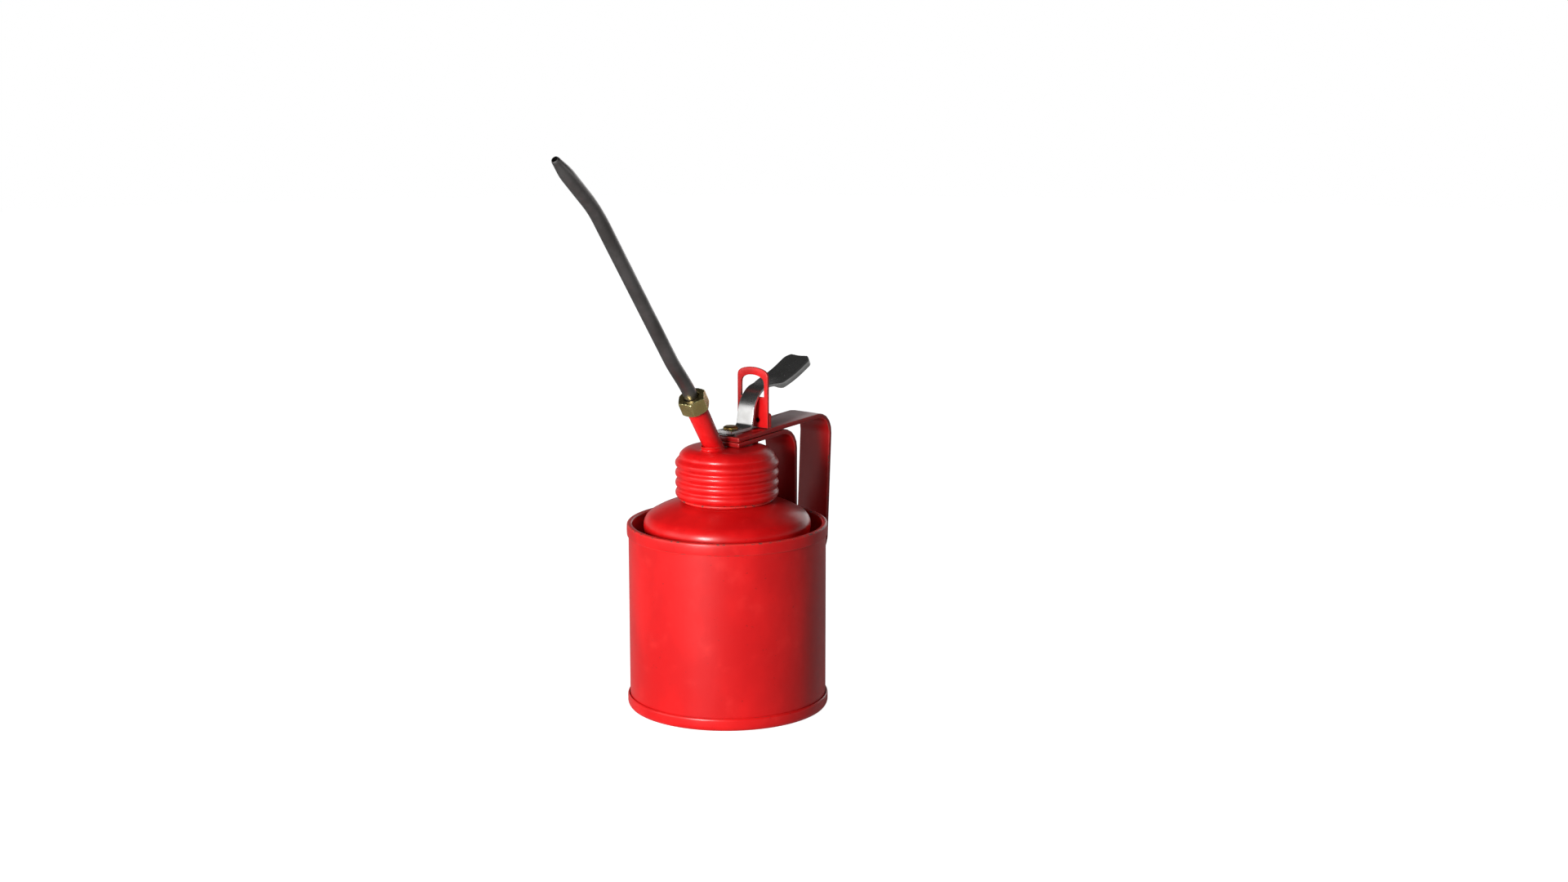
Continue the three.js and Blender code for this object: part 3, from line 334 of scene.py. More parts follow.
# The tin's shoulder.
# A deep-drawn top: its edge is rolled over the wall, it drops into a gutter that catches spilt oil,
# and it rises over a round shoulder to the neck.
rim_low, rim_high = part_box("shoulder_dome")
rim_radius = (rim_high.x - rim_low.x) / 2
rim_top = can_high.z + 1.0 * MM
rim_foot = rim_top - 5.1 * MM
gutter = rim_low.z
chuck = inner_end - SHEET
neck_low, neck_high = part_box("neck_collar")
NECK_RADIUS = 19.2 * MM
shoulder = 36.1 * MM
dome_top = 90.5 * MM
hole = NECK_RADIUS + 0.15 * MM
shoulder_points = [
    (rim_radius - 0.15 * MM, rim_foot, 0.3 * MM), (rim_radius, rim_foot + 2.2 * MM, 1.2 * MM),
    (rim_radius - 0.15 * MM, rim_top, 0.75 * MM), (chuck, rim_top, 0.75 * MM),
    (chuck, gutter, 1.3 * MM), (shoulder - 1.2 * MM, gutter, 1.3 * MM),
    (shoulder - 1.2 * MM, gutter + 7 * MM, 2.0 * MM), (shoulder, gutter + 10.5 * MM, 1.4 * MM),
    (shoulder - 0.35 * MM, 83.6 * MM, 3.0 * MM), (27 * MM, 88.5 * MM, 4.5 * MM), (hole, dome_top, 0.2 * MM),
    (hole, dome_top - SHEET, 0.1 * MM), (26.6 * MM, 87.6 * MM, 4.0 * MM), (35 * MM, 83.1 * MM, 3.0 * MM),
    (shoulder - 0.8 * MM, gutter + 10.4 * MM, 1.2 * MM), (shoulder - 2.0 * MM, gutter + 7 * MM, 1.5 * MM),
    (shoulder - 2.0 * MM, gutter - SHEET + 1.4 * MM, 0), (shoulder - 2.0 * MM, gutter + 0.1 * MM, 0),
    (inner_end - 0.05 * MM, gutter + 0.1 * MM, 0), (inner_end, rim_top - SHEET, 0),
    (lip, rim_top - SHEET, 0), (lip, rim_foot, 0.1 * MM),
]
finished("tin_shoulder", spun(shoulder_points, steps=192),
         red_enamel("shoulder_enamel", 4.1, clouds=0.02, edge_wear_and_highlight=0.9), "can", ["shoulder_dome"])


# The neck and its gasket.
# A turned collar soldered into the shoulder, its thread cut for the cap, and the oil-proof rubber
# ring that the cap squeezes onto its top.
def metal(name, colour, dull, rough, seed, grain_size=0.0009, stretch=(1, 1, 1), marks=0.5, depth=1.0):
    """Worked metal: a drawn or turned grain, a cloudy oil film and brighter rubbed edges."""
    piece = Finish(name)
    film = piece.noise(0.012, 4.0, turn=(seed, 0.2, seed))
    lines = piece.noise(grain_size, 3.0, stretch=stretch, turn=(0, 0, 0))
    spots = piece.noise(0.0024, 4.0, turn=(0.4, seed, 0)).clamped(0.62, 0.72)
    base = piece.mix(film.clamped(0.35, 0.7) * 0.75, colour, dull)
    base = piece.mix(spots * 0.35 * marks, base, (dull[0] * 0.45, dull[1] * 0.42, dull[2] * 0.4, 1))
    bright = (piece.edge() * 1.2 + lines * 0.4 - 0.3).clamped(0.6, 1.0)
    base = piece.mix(bright * 0.45, base, tuple(min(1.0, c * 1.7 + 0.05) for c in colour[:3]) + (1,))
    scratches = piece.noise(grain_size * 0.5, 1.0, stretch=(1, 1, 0.12), turn=(0.5, 0.3, seed))
    scored = piece.bump(scratches.clamped(0.6, 0.7), -0.00003, 0.25 * depth)
    piece.set(Base_Color=base, Metallic=1.0, Normal=piece.bump(lines, 0.00003, 0.35 * depth, scored))
    piece.set(Roughness=film * 0.16 + lines * 0.14 + spots * 0.12 * marks + (rough - 0.12))
    return piece.material


def helix(radius, low, turns, pitch, thick, steps=48):
    """A round ridge wound about the can's axis."""
    mesh = bmesh.new()
    bmesh.ops.create_circle(mesh, cap_ends=False, segments=12, radius=thick)
    bmesh.ops.rotate(mesh, verts=mesh.verts, cent=(0, 0, 0), matrix=Matrix.Rotation(math.pi / 2, 3, "X"))
    bmesh.ops.translate(mesh, verts=mesh.verts, vec=(radius, 0, low))
    start = mesh.edges[:]
    climbed = bmesh.ops.spin(mesh, geom=start, cent=(0, 0, 0), axis=(0, 0, 1), angle=math.tau * turns,
                             dvec=(0, 0, pitch / steps), steps=int(steps * turns))
    bmesh.ops.contextual_create(mesh, geom=start)
    ends = [item for item in climbed["geom_last"] if isinstance(item, bmesh.types.BMEdge)]
    bmesh.ops.contextual_create(mesh, geom=ends)
    bmesh.ops.translate(mesh, verts=mesh.verts, vec=AXIS)
    return mesh


cap_low, cap_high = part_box("screw_cap")
neck_bore = NECK_RADIUS - 1.5 * MM
bead = NECK_RADIUS + 1.0 * MM
neck_foot = neck_high.x - AXIS_X - 0.05 * MM
neck_points = [
    (neck_bore, neck_low.z, 0.2 * MM), (neck_foot, neck_low.z, 0.2 * MM),
    (neck_foot, neck_low.z + 0.8 * MM, 0.2 * MM), (NECK_RADIUS, neck_low.z + 0.9 * MM, 0),
    (NECK_RADIUS, dome_top + 0.3 * MM, 0), (bead, dome_top + 0.3 * MM, 0.3 * MM),
    (bead, cap_low.z - 0.35 * MM, 0.3 * MM), (NECK_RADIUS, cap_low.z - 0.2 * MM, 0.2 * MM),
    (NECK_RADIUS, neck_high.z, 0.3 * MM), (neck_bore, neck_high.z, 0.3 * MM),
]
neck_paint = red_enamel("neck_enamel", 5.3, clouds=0.012)
finished("neck_collar_turned", spun(neck_points, steps=128), neck_paint, "can",
         ["neck_collar"])
PITCH = 4.3 * MM
finished("neck_thread", helix(NECK_RADIUS + 0.2 * MM, cap_low.z + 1.6 * MM, 3, PITCH, 0.95 * MM), neck_paint,
         "can")

gasket_low, gasket_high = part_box("neck_gasket")
gasket_outer = (gasket_high.x - gasket_low.x) / 2
rubber = Finish("oiled_rubber")
bloom = rubber.noise(0.006, 4.0)
rubber.set(Base_Color=rubber.mix(bloom.clamped(0.4, 0.7), rgb(34, 33, 31), rgb(58, 55, 50)),
           Roughness=bloom * 0.3 + 0.5, Normal=rubber.bump(rubber.noise(0.0006), 0.00008, 0.5))
gasket_points = [(gasket_outer - 2.2 * MM, gasket_low.z, 0.3 * MM), (gasket_outer, gasket_low.z, 0.3 * MM),
                 (gasket_outer, gasket_high.z, 0.3 * MM), (gasket_outer - 2.2 * MM, gasket_high.z, 0.3 * MM)]
finished("neck_gasket_ring", spun(gasket_points, steps=96), rubber.material, "gasket",
         ["neck_gasket"])


# The screw cap.
# Pressed from one disc of steel: a round-shouldered top and a skirt with four rolled ribs for grip.
# A screw ridge is rolled inside it.
cap_top = cap_high.z
crest = (cap_high.x - cap_low.x) / 2
valley = crest - 0.85 * MM
cap_bore = 20.6 * MM
FIRST_RIB = 94.1 * MM
rib_heights = [FIRST_RIB + PITCH * i for i in range(4)]
ribs = [point for height in rib_heights for point in
        ((valley, height - 1.75 * MM, 0.5 * MM), (crest, height - 0.75 * MM, 0.62 * MM),
         (crest, height + 0.75 * MM, 0.62 * MM), (valley, height + 1.75 * MM, 0.5 * MM))]
ledge = 20.5 * MM
cap_points = [
    (0, cap_top - 0.9 * MM, 0), (ledge - 4.0 * MM, cap_top - 1.2 * MM, 1.5 * MM),
    (ledge - 1.0 * MM, cap_top - 3.2 * MM, 1.5 * MM),
    (ledge - 0.9 * MM, rib_heights[-1] + 2.4 * MM, 0.3 * MM),
    (cap_bore, rib_heights[-1] + 1.4 * MM, 0.3 * MM), (cap_bore, cap_low.z, 0.15 * MM),
    (valley - 0.25 * MM, cap_low.z, 0.25 * MM), *ribs[:-1],
    (valley - 0.2 * MM, rib_heights[-1] + 1.9 * MM, 0.4 * MM), (ledge, rib_heights[-1] + 2.6 * MM, 0.5 * MM),
    (ledge - 0.15 * MM, cap_top - 2.6 * MM, 2.0 * MM), (ledge - 3.6 * MM, cap_top - 0.35 * MM, 2.0 * MM),
    (6 * MM, cap_top - 0.02 * MM, 3.0 * MM), (0, cap_top - 0.02 * MM, 0),
]
cap_paint = red_enamel("cap_enamel", 6.7, clouds=0.014)
finished("cap_shell", spun(cap_points, closed=False), cap_paint, "head", ["screw_cap"])
finished("cap_thread", helix(cap_bore + 0.2 * MM, cap_low.z + 1.6 * MM + PITCH / 2, 2, PITCH, 0.95 * MM),
         cap_paint, "head")


# The spout's socket.
# A short tube brazed onto the cap, leaning forward, with a fillet of brazing metal round its foot
# and all of it enamelled with the cap.
SOCKET_TILT = math.radians(31)
SOCKET_FOOT = AXIS + Vector((-9.2 * MM, 0, cap_top + 0.3 * MM))
SOCKET_RADIUS = 4.5 * MM
SOCKET_LENGTH = 24.5 * MM


def leaned(mesh):
    """Lays a piece made about the Z axis over onto the socket's line."""
    bmesh.ops.rotate(mesh, verts=mesh.verts, cent=(0, 0, 0), matrix=Matrix.Rotation(-SOCKET_TILT, 3, "Y"))
    bmesh.ops.translate(mesh, verts=mesh.verts, vec=SOCKET_FOOT)
    return mesh


socket_points = [
    (3.4 * MM, -1.0 * MM, 0), (SOCKET_RADIUS, -1.0 * MM, 0), (SOCKET_RADIUS, SOCKET_LENGTH, 0.3 * MM),
    (3.4 * MM, SOCKET_LENGTH, 0.3 * MM),
]
socket_mesh = leaned(spun(socket_points, steps=64, centre=Vector()))
foot_points = [vert for vert in socket_mesh.verts if vert.co.z < cap_top - 0.3 * MM]
for vert in foot_points:
    vert.co.z = cap_top - 0.3 * MM
socket_paint = red_enamel("socket_enamel", 8.1, clouds=0.01)
finished("socket_tube", socket_mesh, socket_paint, "head", ["spout_socket"])

fillet_points = [
    (SOCKET_RADIUS - 0.3 * MM, -0.4 * MM, 0), (SOCKET_RADIUS + 1.5 * MM, -0.4 * MM, 0),
    (SOCKET_RADIUS + 0.1 * MM, 0.12 * MM, 0.5 * MM), (SOCKET_RADIUS + 0.02 * MM, 1.7 * MM, 0),
    (SOCKET_RADIUS - 0.3 * MM, 1.7 * MM, 0),
]
fillet_mesh = bmesh.new()
drawn(fillet_mesh, fillet_points)
bmesh.ops.spin(fillet_mesh, geom=fillet_mesh.verts[:] + fillet_mesh.edges[:], cent=(0, 0, 0), axis=(0, 0, 1),
               angle=math.tau, steps=64, use_merge=True)
lean = math.tan(SOCKET_TILT)
for vert in fillet_mesh.verts:
    vert.co.x = vert.co.x / math.cos(SOCKET_TILT) - vert.co.z * lean
bmesh.ops.translate(fillet_mesh, verts=fillet_mesh.verts, vec=SOCKET_FOOT + Vector((0, 0, -0.3 * MM)))
finished("socket_fillet", fillet_mesh, socket_paint, "head")


# The two straps.
# Flat steel strip with rounded edges, bent cold: the outer one is the handle, its foot just clear of
# the back of the can, and the inner one drops into the gutter as a brace. They lie together on the cap.
STRAP = 2.0 * MM
STRAP_WIDTH = 16.4 * MM
RISE = 0.0356
FRONT = -2.2 * MM
strap_under = cap_top + 0.3 * MM - RISE * FRONT


def offset_line(points, thickness):
    """A closed outline of even thickness about a line of (across, up, bend) points."""
    flat = [Vector((across, up)) for across, up, _ in points]
    sides = []
    for side in (1, -1):
        row = []
        for i, (here, (_, _, bend)) in enumerate(zip(flat, points)):
            before = (here - flat[i - 1]).normalized() if i else (flat[1] - here).normalized()
            after = (flat[i + 1] - here).normalized() if i + 1 < len(flat) else before
            turning = before.x * after.y - before.y * after.x
            half = math.atan2(turning, before.dot(after)) / 2
            normal = Vector((-before.y, before.x))
            middle = Matrix.Rotation(half, 2) @ normal
            corner = here + middle * (side * thickness / 2 / math.cos(half))
            own = bend - side * math.copysign(thickness / 2, turning) if bend else 0
            row.append((corner.x, corner.y, own * abs(math.tan(half))))
        sides.append(row)
    return sides[0] + sides[1][::-1]


def strip(points, thickness, width, soft):
    """A strip of sheet bent along a line in the XZ plane, its long edges rounded."""
    mesh = bmesh.new()
    drawn(mesh, offset_line(points, thickness))
    bmesh.ops.translate(mesh, verts=mesh.verts, vec=(0, -width / 2, 0))
    side = bmesh.ops.contextual_create(mesh, geom=mesh.edges[:])["faces"]
    grown = bmesh.ops.extrude_face_region(mesh, geom=side)["geom"]
    moved = [item for item in grown if isinstance(item, bmesh.types.BMVert)]
    bmesh.ops.translate(mesh, verts=moved, vec=(0, width, 0))
    soften(mesh, soft)
    return mesh


def soften(mesh, reach, least=50):
    """Rounds every edge that turns by more than least degrees."""
    bmesh.ops.recalc_face_normals(mesh, faces=mesh.faces)
    hard = [edge for edge in mesh.edges
            if len(edge.link_faces) == 2 and edge.calc_face_angle(0) > math.radians(least)]
    bmesh.ops.bevel(mesh, geom=hard, offset=reach, offset_type="OFFSET", segments=3, profile=0.5,
                    affect="EDGES", clamp_overlap=True, material=-1)


handle_low, handle_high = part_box("handle_strap")
brace_low, brace_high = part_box("brace_strap")
upper = strap_under + STRAP + 0.3 * MM + STRAP / 2
lower = strap_under + STRAP / 2
HANDLE_REACH = handle_high.x - AXIS_X - STRAP / 2
FOOT_REACH = can_radius + 0.6 * MM + STRAP / 2
handle_line = [
    (FRONT, upper + RISE * FRONT, 0), (HANDLE_REACH, upper + RISE * HANDLE_REACH, 8.6 * MM),
    (HANDLE_REACH - 3.2 * MM, 60 * MM, 9 * MM), (FOOT_REACH, 46 * MM, 7 * MM), (FOOT_REACH, handle_low.z, 0),
]
handle = strip(handle_line, STRAP, STRAP_WIDTH, 0.55 * MM)
bmesh.ops.translate(handle, verts=handle.verts, vec=AXIS)
# Both straps get enamel darkened toward maroon: painted shade, partly a deeper red paint.
handle_paint = red_enamel("handle_enamel", 9.3, clouds=0.018, edge_wear_and_highlight=1.0, shade_and_deeper_red=0.6)
finished("handle_strap_bent", handle, handle_paint, "head", ["handle_strap"])

BRACE_REACH = brace_high.x - AXIS_X - STRAP / 2
brace_line = [(FRONT, lower + RISE * FRONT, 0), (BRACE_REACH, lower + RISE * BRACE_REACH, 8.6 * MM),
              (BRACE_REACH, brace_low.z, 0)]
brace = strip(brace_line, STRAP, STRAP_WIDTH, 0.55 * MM)
gutter_wall = chuck - 0.55 * MM
for vert in brace.verts:
    sideways = math.hypot(vert.co.x, vert.co.y)
    if vert.co.z < rim_top + 3 * MM and sideways > gutter_wall:
        vert.co.x = math.sqrt(gutter_wall ** 2 - vert.co.y ** 2)
bmesh.ops.translate(brace, verts=brace.verts, vec=AXIS)
brace_paint = red_enamel("brace_enamel", 10.9, clouds=0.018, edge_wear_and_highlight=0.8, shade_and_deeper_red=0.6)
finished("brace_strap_bent", brace, brace_paint, "head", ["brace_strap"])


def ringed(rings, segments):
    """A closed skin over rings of (radius at an angle, height), the last joined to the first."""
    mesh = bmesh.new()
    loops = []
    for radius, height in rings:
        loop = []
        for i in range(segments):
            turn = math.tau * i / segments
            out = radius(turn)
            loop.append(mesh.verts.new((out * math.cos(turn), out * math.sin(turn), height)))
        loops.append(loop)
    for one, other in zip(loops, loops[1:] + loops[:1]):
        for i in range(segments):
            j = (i + 1) % segments
            mesh.faces.new((one[i], one[j], other[j], other[i]))
    return mesh


def bored(piece, cutters):
    """Cuts closed bmeshes out of a finished piece."""
    for cutter in cutters:
        bmesh.ops.recalc_face_normals(cutter, faces=cutter.faces)
        data = bpy.data.meshes.new("cutter")
        cutter.to_mesh(data)
        cutter.free()
        tool = bpy.data.objects.new("cutter", data)
        bpy.context.collection.objects.link(tool)
        cut = piece.modifiers.new("cut", "BOOLEAN")
        cut.object = tool
        cut.operation = "DIFFERENCE"
        cut.solver = "EXACT"
        bpy.context.view_layer.update()
        view = bpy.context.evaluated_depsgraph_get()
        result = bpy.data.meshes.new_from_object(piece.evaluated_get(view))
        piece.modifiers.clear()
        piece.data = result
        bpy.data.objects.remove(tool)
    return piece


def drill(radius, low, high, x=0.0, y=0.0, segments=32):
    """An upright round cutter at a place measured from the can's axis."""
    mesh = bmesh.new()
    bmesh.ops.create_cone(mesh, cap_ends=True, segments=segments, radius1=radius, radius2=radius,
                          depth=high - low)
    bmesh.ops.translate(mesh, verts=mesh.verts, vec=AXIS + Vector((x, y, (low + high) / 2)))
    return mesh


# Holes for the pump rod.
# One plain hole drilled through the cap and both straps once they are riveted together, a little wider
# than the rod so that it slides freely.
PUMP_X = 2.6 * MM
ROD_HOLE = 1.9 * MM
for name in ("cap_shell", "handle_strap_bent", "brace_strap_bent"):
    bored(bpy.data.objects[name], [drill(ROD_HOLE, cap_top - 3 * MM, upper + 3 * MM, PUMP_X)])


# The guide and its backing.
# Two plates cut from the same strip and riveted back to back, the front one with the window that the
# lever rocks in. Enamelled with the head.
guide_low, guide_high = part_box("lever_guide")
backing_low, backing_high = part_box("guide_backing")
guide_paint = red_enamel("guide_enamel", 12.5, clouds=0.012, edge_wear_and_highlight=1.3)


def crowned(half, bottom, shoulder, crown, corner, steps=14):
    """Outline points in Y and Z of an upright plate with a domed top."""
    points = [(-half, bottom), (half, bottom)]
    for i in range(steps + 1):
        turn = math.pi * i / steps
        points.append((half * math.cos(turn), shoulder - corner + (corner + crown) * math.sin(turn) ** 0.75))
    return points


def plate(loops, low, high, soft):
    """A flat plate facing along X from its outer loop and any holes."""
    mesh = bmesh.new()
    for loop in loops:
        corners = [mesh.verts.new((low, y, z)) for y, z in loop]
        for one, other in zip(corners, corners[1:] + corners[:1]):
            mesh.edges.new((one, other))
    bmesh.ops.remove_doubles(mesh, verts=mesh.verts, dist=1e-6)
    bmesh.ops.triangle_fill(mesh, use_beauty=True, use_dissolve=False, edges=mesh.edges)
    grown = bmesh.ops.extrude_face_region(mesh, geom=mesh.faces[:])["geom"]
    moved = [item for item in grown if isinstance(item, bmesh.types.BMVert)]
    bmesh.ops.translate(mesh, verts=moved, vec=(high - low, 0, 0))
    soften(mesh, soft)
    return mesh


WINDOW_HALF = 6.15 * MM
window_bottom = cap_top + 19.1 * MM
front_loop = crowned(STRAP_WIDTH / 2, guide_low.z, guide_high.z - 2.9 * MM, 2.85 * MM, 1.2 * MM)
window_loop = crowned(WINDOW_HALF, window_bottom, cap_top + 26.7 * MM, 1.8 * MM, 2.0 * MM)
finished("guide_plate", plate([front_loop, window_loop], guide_low.x, guide_high.x, 0.3 * MM), guide_paint,
         "head", ["lever_guide"])
backing_loop = crowned(STRAP_WIDTH / 2, backing_low.z, backing_high.z, 0, 1.5 * MM)
finished("backing_plate", plate([backing_loop], backing_low.x, backing_high.x, 0.3 * MM), guide_paint,
         "head", ["guide_backing"])


# Rivets.
# Soft steel rivets: two flat ones countersunk into the straps, two with raised heads behind the guide,
# closed cold and painted over.
SHANK = 1.2 * MM
for number in (1, 2):
    low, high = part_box(f"strap_rivet_{number}")
    centre = Vector(((low.x + high.x) / 2, (low.y + high.y) / 2, 0))
    top = upper + STRAP / 2 + RISE * (centre.x - AXIS_X) + 0.12 * MM
    flat_rivet = [
        (0, low.z, 0), (2.1 * MM, low.z, 0.2 * MM), (2.1 * MM, low.z + 0.8 * MM, 0),
        (SHANK, low.z + 0.8 * MM, 0), (SHANK, top - 0.9 * MM, 0), (2.05 * MM, top - 0.1 * MM, 0),
        (0, top, 0),
    ]
    finished(f"strap_rivet_closed_{number}", spun(flat_rivet, 32, centre, closed=False), guide_paint, "head",
             [f"strap_rivet_{number}"])
    low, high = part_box(f"guide_rivet_{number}")
    centre = Vector((low.x, (low.y + high.y) / 2, (low.z + high.z) / 2))
    length = high.x - low.x
    raised = [
        (0, 0, 0), (SHANK, 0, 0.1 * MM), (SHANK, length - 0.8 * MM, 0),
        (2.1 * MM, length - 0.8 * MM, 0.15 * MM), (1.75 * MM, length - 0.2 * MM, 0.3 * MM), (0, length, 0),
    ]
    mesh = spun(raised, 32, Vector(), closed=False)
    bmesh.ops.rotate(mesh, verts=mesh.verts, cent=(0, 0, 0), matrix=Matrix.Rotation(math.pi / 2, 3, "Y"))
    bmesh.ops.translate(mesh, verts=mesh.verts, vec=centre)
    finished(f"guide_rivet_closed_{number}", mesh, guide_paint, "head",
             [f"guide_rivet_{number}"])


# The thumb lever.
# One strip of bright steel: a slotted foot under the rod's head, an upright, a neck through the
# guide's window and a broad pad with its sides turned down. Bent cold and left unpainted.
SHEET_STEEL = 1.2 * MM
FOOT_END = 17.85 * MM
foot_z = upper + STRAP / 2 + RISE * FOOT_END + 0.3 * MM + SHEET_STEEL / 2
arm_z = window_bottom + 3.3 * MM
PAD_SIDE = 7.0 * MM
PAD_START = 31 * MM
PAD_END = 52 * MM
PAD_ROUND = 3.2 * MM
ARM_SIDE = 4.25 * MM
lever_corners = [
    (-1.6 * MM, foot_z, 0), (12.25 * MM, foot_z, 2.0 * MM),
    (14.4 * MM, window_bottom - 2.3 * MM, 3.6 * MM), (19.7 * MM, arm_z, 3.6 * MM),
    (PAD_START, arm_z + 1.6 * MM, 3.0 * MM), (40 * MM, arm_z + 4.3 * MM, 5.0 * MM),
    (PAD_END, cap_top + 32.3 * MM, 0),
]


def eased(corners, steps=6):
    """A line of points through (x, z, reach) corners, each bent over its reach."""
    line = []
    flat = [Vector((x, z)) for x, z, _ in corners]
    for i, (here, (_, _, reach)) in enumerate(zip(flat, corners)):
        if not reach:
            line.append(here)
            continue
        start = here + (flat[i - 1] - here).normalized() * reach
        end = here + (flat[i + 1] - here).normalized() * reach
        for k in range(steps + 1):
            t = k / steps
            line.append(start * (1 - t) ** 2 + here * 2 * t * (1 - t) + end * t ** 2)
    return line


def even(line, spacing):
    """The line with no step longer than the spacing."""
    dense = [line[0]]
    for one, other in zip(line, line[1:]):
        parts = max(1, math.ceil((other - one).length / spacing))
        dense.extend(one.lerp(other, (k + 1) / parts) for k in range(parts))
    return dense


def smooth_step(value, low, high):
    """0 below low, 1 above high, smooth between."""
    share = min(max((value - low) / (high - low), 0.0), 1.0)
    return share * share * (3 - 2 * share)


def lever_half(x):
    """Half the lever's width at a distance from the can's axis."""
    broad = ARM_SIDE + (PAD_SIDE - ARM_SIDE) * smooth_step(x, PAD_START - 8 * MM, PAD_START + 1 * MM)
    left = min(max(PAD_END - x, 0.0) / PAD_ROUND, 1.0)
    return broad - PAD_ROUND * (1 - math.sqrt(1 - (1 - left) ** 2))


whole_line = even(eased(lever_corners), 0.9 * MM)
stations = [point for point in whole_line if point.x < PAD_END - 6 * MM]
last = stations[-1]
for k in range(1, 17):
    stations.append(last.lerp(whole_line[-1], 1 - (1 - k / 16) ** 1.8))
lever = bmesh.new()
loops = []
for i, point in enumerate(stations):
    before, after = stations[max(i - 1, 0)], stations[min(i + 1, len(stations) - 1)]
    along = (after - before).normalized()
    up = Vector((-along.y, along.x))
    half = lever_half(point.x)
    bent_down = smooth_step(point.x, PAD_START - 6 * MM, PAD_START) * smooth_step(half, 4.3 * MM, 6.2 * MM)
    deep = SHEET_STEEL + 1.9 * MM * bent_down
    corner = 0.2 * MM + 0.8 * MM * bent_down
    dish = 0.35 * MM * smooth_step(point.x, PAD_START - 1 * MM, PAD_START + 5 * MM)
    side_wall = half - 0.3 * MM - 0.6 * MM * bent_down
    section = [((half - corner) * k / 6, -dish * (1 - (k / 6) ** 2)) for k in range(7)]
    for k in range(1, 5):
        turn = math.pi / 2 * k / 4
        section.append((half - corner + corner * math.sin(turn), -corner * (1 - math.cos(turn))))
    section += [(half, 0.15 * MM - deep), (half - 0.12 * MM, -deep), (side_wall + 0.1 * MM, -deep),
                (side_wall, 0.08 * MM - deep), (side_wall, -SHEET_STEEL - 0.25 * MM * bent_down),
                (side_wall - 0.5 * MM, -SHEET_STEEL)]
    flat_half = side_wall - 0.5 * MM
    section += [(flat_half * k / 4, -SHEET_STEEL - dish * (1 - (k / 4) ** 2)) for k in (3, 2, 1, 0)]
    section += [(-y, drop) for y, drop in section[-2:0:-1]]
    base = point + up * (SHEET_STEEL / 2)
    loops.append([lever.verts.new((AXIS_X + base.x + up.x * drop, y, base.y + up.y * drop))
                  for y, drop in section])
for one, other in zip(loops, loops[1:]):
    for k in range(len(one)):
        j = (k + 1) % len(one)
        lever.faces.new((one[k], other[k], other[j], one[j]))
lever.faces.new(loops[0])
lever.faces.new(loops[-1][::-1])
slot = bmesh.new()
bmesh.ops.create_cube(slot, size=1)
bmesh.ops.scale(slot, verts=slot.verts, vec=(5.5 * MM, 2 * ROD_HOLE, 6 * MM))
bmesh.ops.translate(slot, verts=slot.verts, vec=AXIS + Vector((PUMP_X + 2.75 * MM, 0, foot_z)))
rolled = metal("rolled_steel", rgb(205, 205, 204), rgb(168, 167, 165), 0.26, 3.1, grain_size=0.0007,
               stretch=(0.12, 1, 1), marks=0.08, depth=0.05)
made = finished("lever_bent", lever, rolled, "lever", ["thumb_lever"], crease=32)
bored(made, [drill(ROD_HOLE, foot_z - 3 * MM, foot_z + 3 * MM, PUMP_X), slot])


# The spout.
# A drawn steel tube, bent twice and swaged to a fine open end. It was browned, and oil and handling
# have left it dull.
SPOUT_RADIUS = 3.0 * MM
SPOUT_BORE = 2.2 * MM
SPOUT_TILT = math.radians(34.9)
TIP_TILT = math.radians(47)


def leaning(tilt):
    """The direction that leans forward from the upright by tilt."""
    return Vector((-math.sin(tilt), 0, math.cos(tilt)))


tube_start = SOCKET_FOOT + leaning(SOCKET_TILT) * 14 * MM
tube_exit = SOCKET_FOOT + leaning(SOCKET_TILT) * 29.7 * MM
straight = AXIS + Vector((-37.4 * MM, 0, cap_top + 42.3 * MM))
STRAIGHT_RISE = 65.3 * MM
bend = straight + leaning(SPOUT_TILT) * (STRAIGHT_RISE / math.cos(SPOUT_TILT))
bend_start = bend - leaning(SPOUT_TILT) * 7 * MM
bend_end = bend + leaning(TIP_TILT) * 7 * MM
tip = bend + leaning(TIP_TILT) * 31 * MM
reach = (tube_exit - straight).length / 3
one, other = tube_exit + leaning(SOCKET_TILT) * reach, straight - leaning(SPOUT_TILT) * reach
run = [tube_start.lerp(tube_exit, k / 8) for k in range(8)]
for k in range(16):
    t = k / 16
    run.append(tube_exit * (1 - t) ** 3 + one * 3 * t * (1 - t) ** 2 + other * 3 * t * t * (1 - t)
               + straight * t ** 3)
run += [straight.lerp(bend_start, k / 30) for k in range(30)]
run += [bend_start * (1 - k / 14) ** 2 + bend * 2 * (k / 14) * (1 - k / 14) + bend_end * (k / 14) ** 2
        for k in range(14)]
run += [bend_end.lerp(tip, k / 34) for k in range(35)]
tube = bmesh.new()
SIDES = 64
hoops = []
for inner in (False, True):
    wall_hoops = []
    for i, point in enumerate(run):
        along = (run[min(i + 1, len(run) - 1)] - run[max(i - 1, 0)]).normalized()
        across = Vector((along.z, 0, -along.x))
        away = (tip - point).length
        share = 0.5 + 0.5 * smooth_step(away, -3 * MM, 10.5 * MM) if away < 11 * MM else 1.0
        squash = 0.05 * math.exp(-((point - bend).length / (5 * MM)) ** 2)
        radius = (SPOUT_BORE if inner else SPOUT_RADIUS - 0.02 * MM) * share
        if not inner and i == len(run) - 1:
            radius -= 0.25 * MM
        hoop = []
        for k in range(SIDES):
            turn = math.tau * k / SIDES
            flattened = across * math.cos(turn) * radius * (1 - squash)
            hoop.append(tube.verts.new(point + flattened + Vector((0, math.sin(turn) * radius, 0))))
        wall_hoops.append(hoop)
    hoops += wall_hoops[::-1] if inner else wall_hoops
for one, other in zip(hoops, hoops[1:] + hoops[:1]):
    for k in range(SIDES):
        j = (k + 1) % SIDES
        tube.faces.new((one[k], one[j], other[j], other[k]))
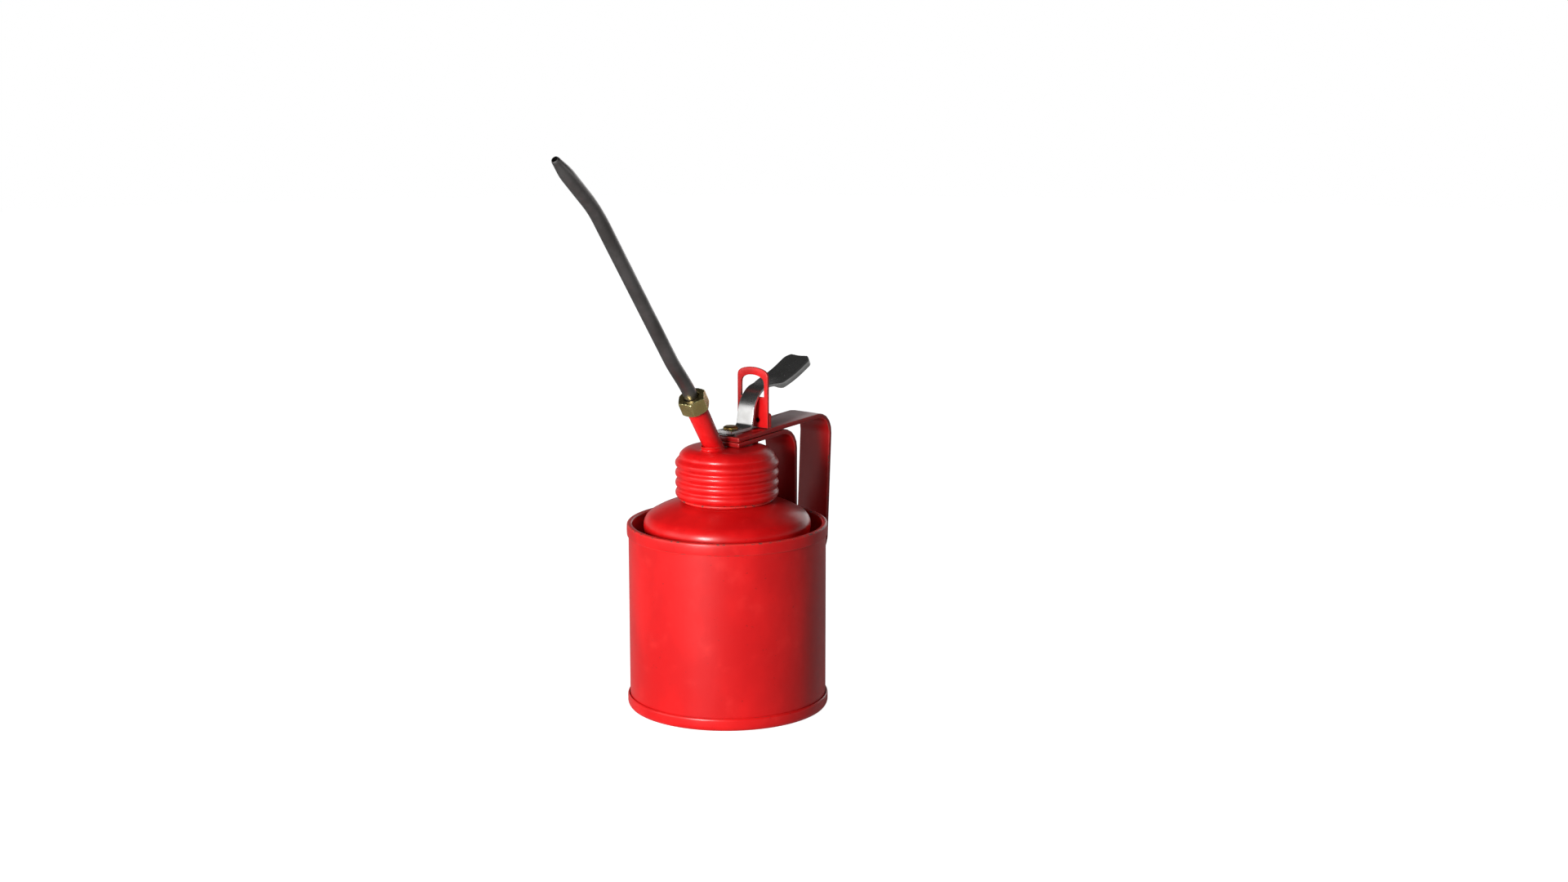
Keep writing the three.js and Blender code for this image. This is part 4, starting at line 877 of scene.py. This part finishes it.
browned = metal("browned_steel", rgb(132, 129, 128), rgb(100, 96, 94), 0.33, 7.7, stretch=(1, 1, 0.15),
                marks=0.3, depth=0.2)
finished("spout_bent", tube, browned, "spout", ["spout_tube"])


# The union nut.
# Milled from hexagon brass with both ends chamfered; it draws the spout's olive down onto the socket.
NUT_START = SOCKET_LENGTH - 2.6 * MM
NUT_END = NUT_START + 6.8 * MM
FLATS = 11.2 * MM
CORNER = FLATS / 2 / math.cos(math.pi / 6)


def hexagon(limit):
    """The radius at an angle of a hexagon turned down to a limit."""
    def radius(turn):
        off = (turn + math.pi / 6) % (math.pi / 3) - math.pi / 6
        return min(FLATS / 2 / math.cos(off), limit) if off else FLATS / 2
    return radius


def round_at(value):
    """The radius at an angle of a plain circle."""
    return lambda turn: value


nut_rings = []
for step in range(5):
    share = step / 4
    nut_rings.append((hexagon(CORNER - 0.95 * MM * (1 - share) ** 1.6), NUT_START + 0.75 * MM * share))
nut_rings.append((hexagon(CORNER - 0.02 * MM), NUT_START + 0.95 * MM))
nut_rings += [(radius, NUT_START + NUT_END - height) for radius, height in nut_rings[::-1]]
NUT_BORE = SOCKET_RADIUS + 0.3 * MM
TUBE_HOLE = SPOUT_RADIUS + 0.3 * MM
nut_rings += [(round_at(TUBE_HOLE + 0.35 * MM), NUT_END), (round_at(TUBE_HOLE), NUT_END - 0.35 * MM),
              (round_at(TUBE_HOLE), NUT_END - 2.0 * MM), (round_at(NUT_BORE), NUT_END - 2.0 * MM),
              (round_at(NUT_BORE), NUT_START + 0.4 * MM), (round_at(NUT_BORE + 0.4 * MM), NUT_START)]
milled = metal("milled_brass", rgb(226, 208, 142), rgb(178, 156, 96), 0.24, 2.2, stretch=(1, 1, 3),
               marks=0.3, depth=0.3)
finished("union_nut_milled", leaned(ringed(nut_rings, 144)), milled, "nut", ["union_nut"],
         crease=18)


# The pump inside the tin.
# Barrel, rod, piston, spring, valves and tubes, turned or drawn to fit; they are hidden when the head
# is on. The rod's riveted brass head shows on the lever's foot.
drawn_steel = metal("drawn_steel", rgb(120, 118, 115), rgb(84, 80, 76), 0.32, 4.4)
turned_brass = metal("turned_brass", rgb(206, 178, 98), rgb(140, 112, 60), 0.28, 6.1)
ball_steel = metal("ball_steel", rgb(205, 205, 204), rgb(176, 175, 173), 0.14, 9.9, marks=0.1)
for names, material in (
        (("pump_barrel", "pump_rod", "return_spring", "dip_tube", "delivery_tube"), drawn_steel),
        (("gland_nut", "rod_head", "piston", "piston_nut", "foot_valve_seat", "strainer", "spout_olive"),
         turned_brass),
        (("foot_ball", "outlet_ball"), ball_steel), (("piston_cup",), rubber.material)):
    for name in names:
        node = bpy.data.objects[name]
        node.data.materials.clear()
        node.data.materials.append(material)
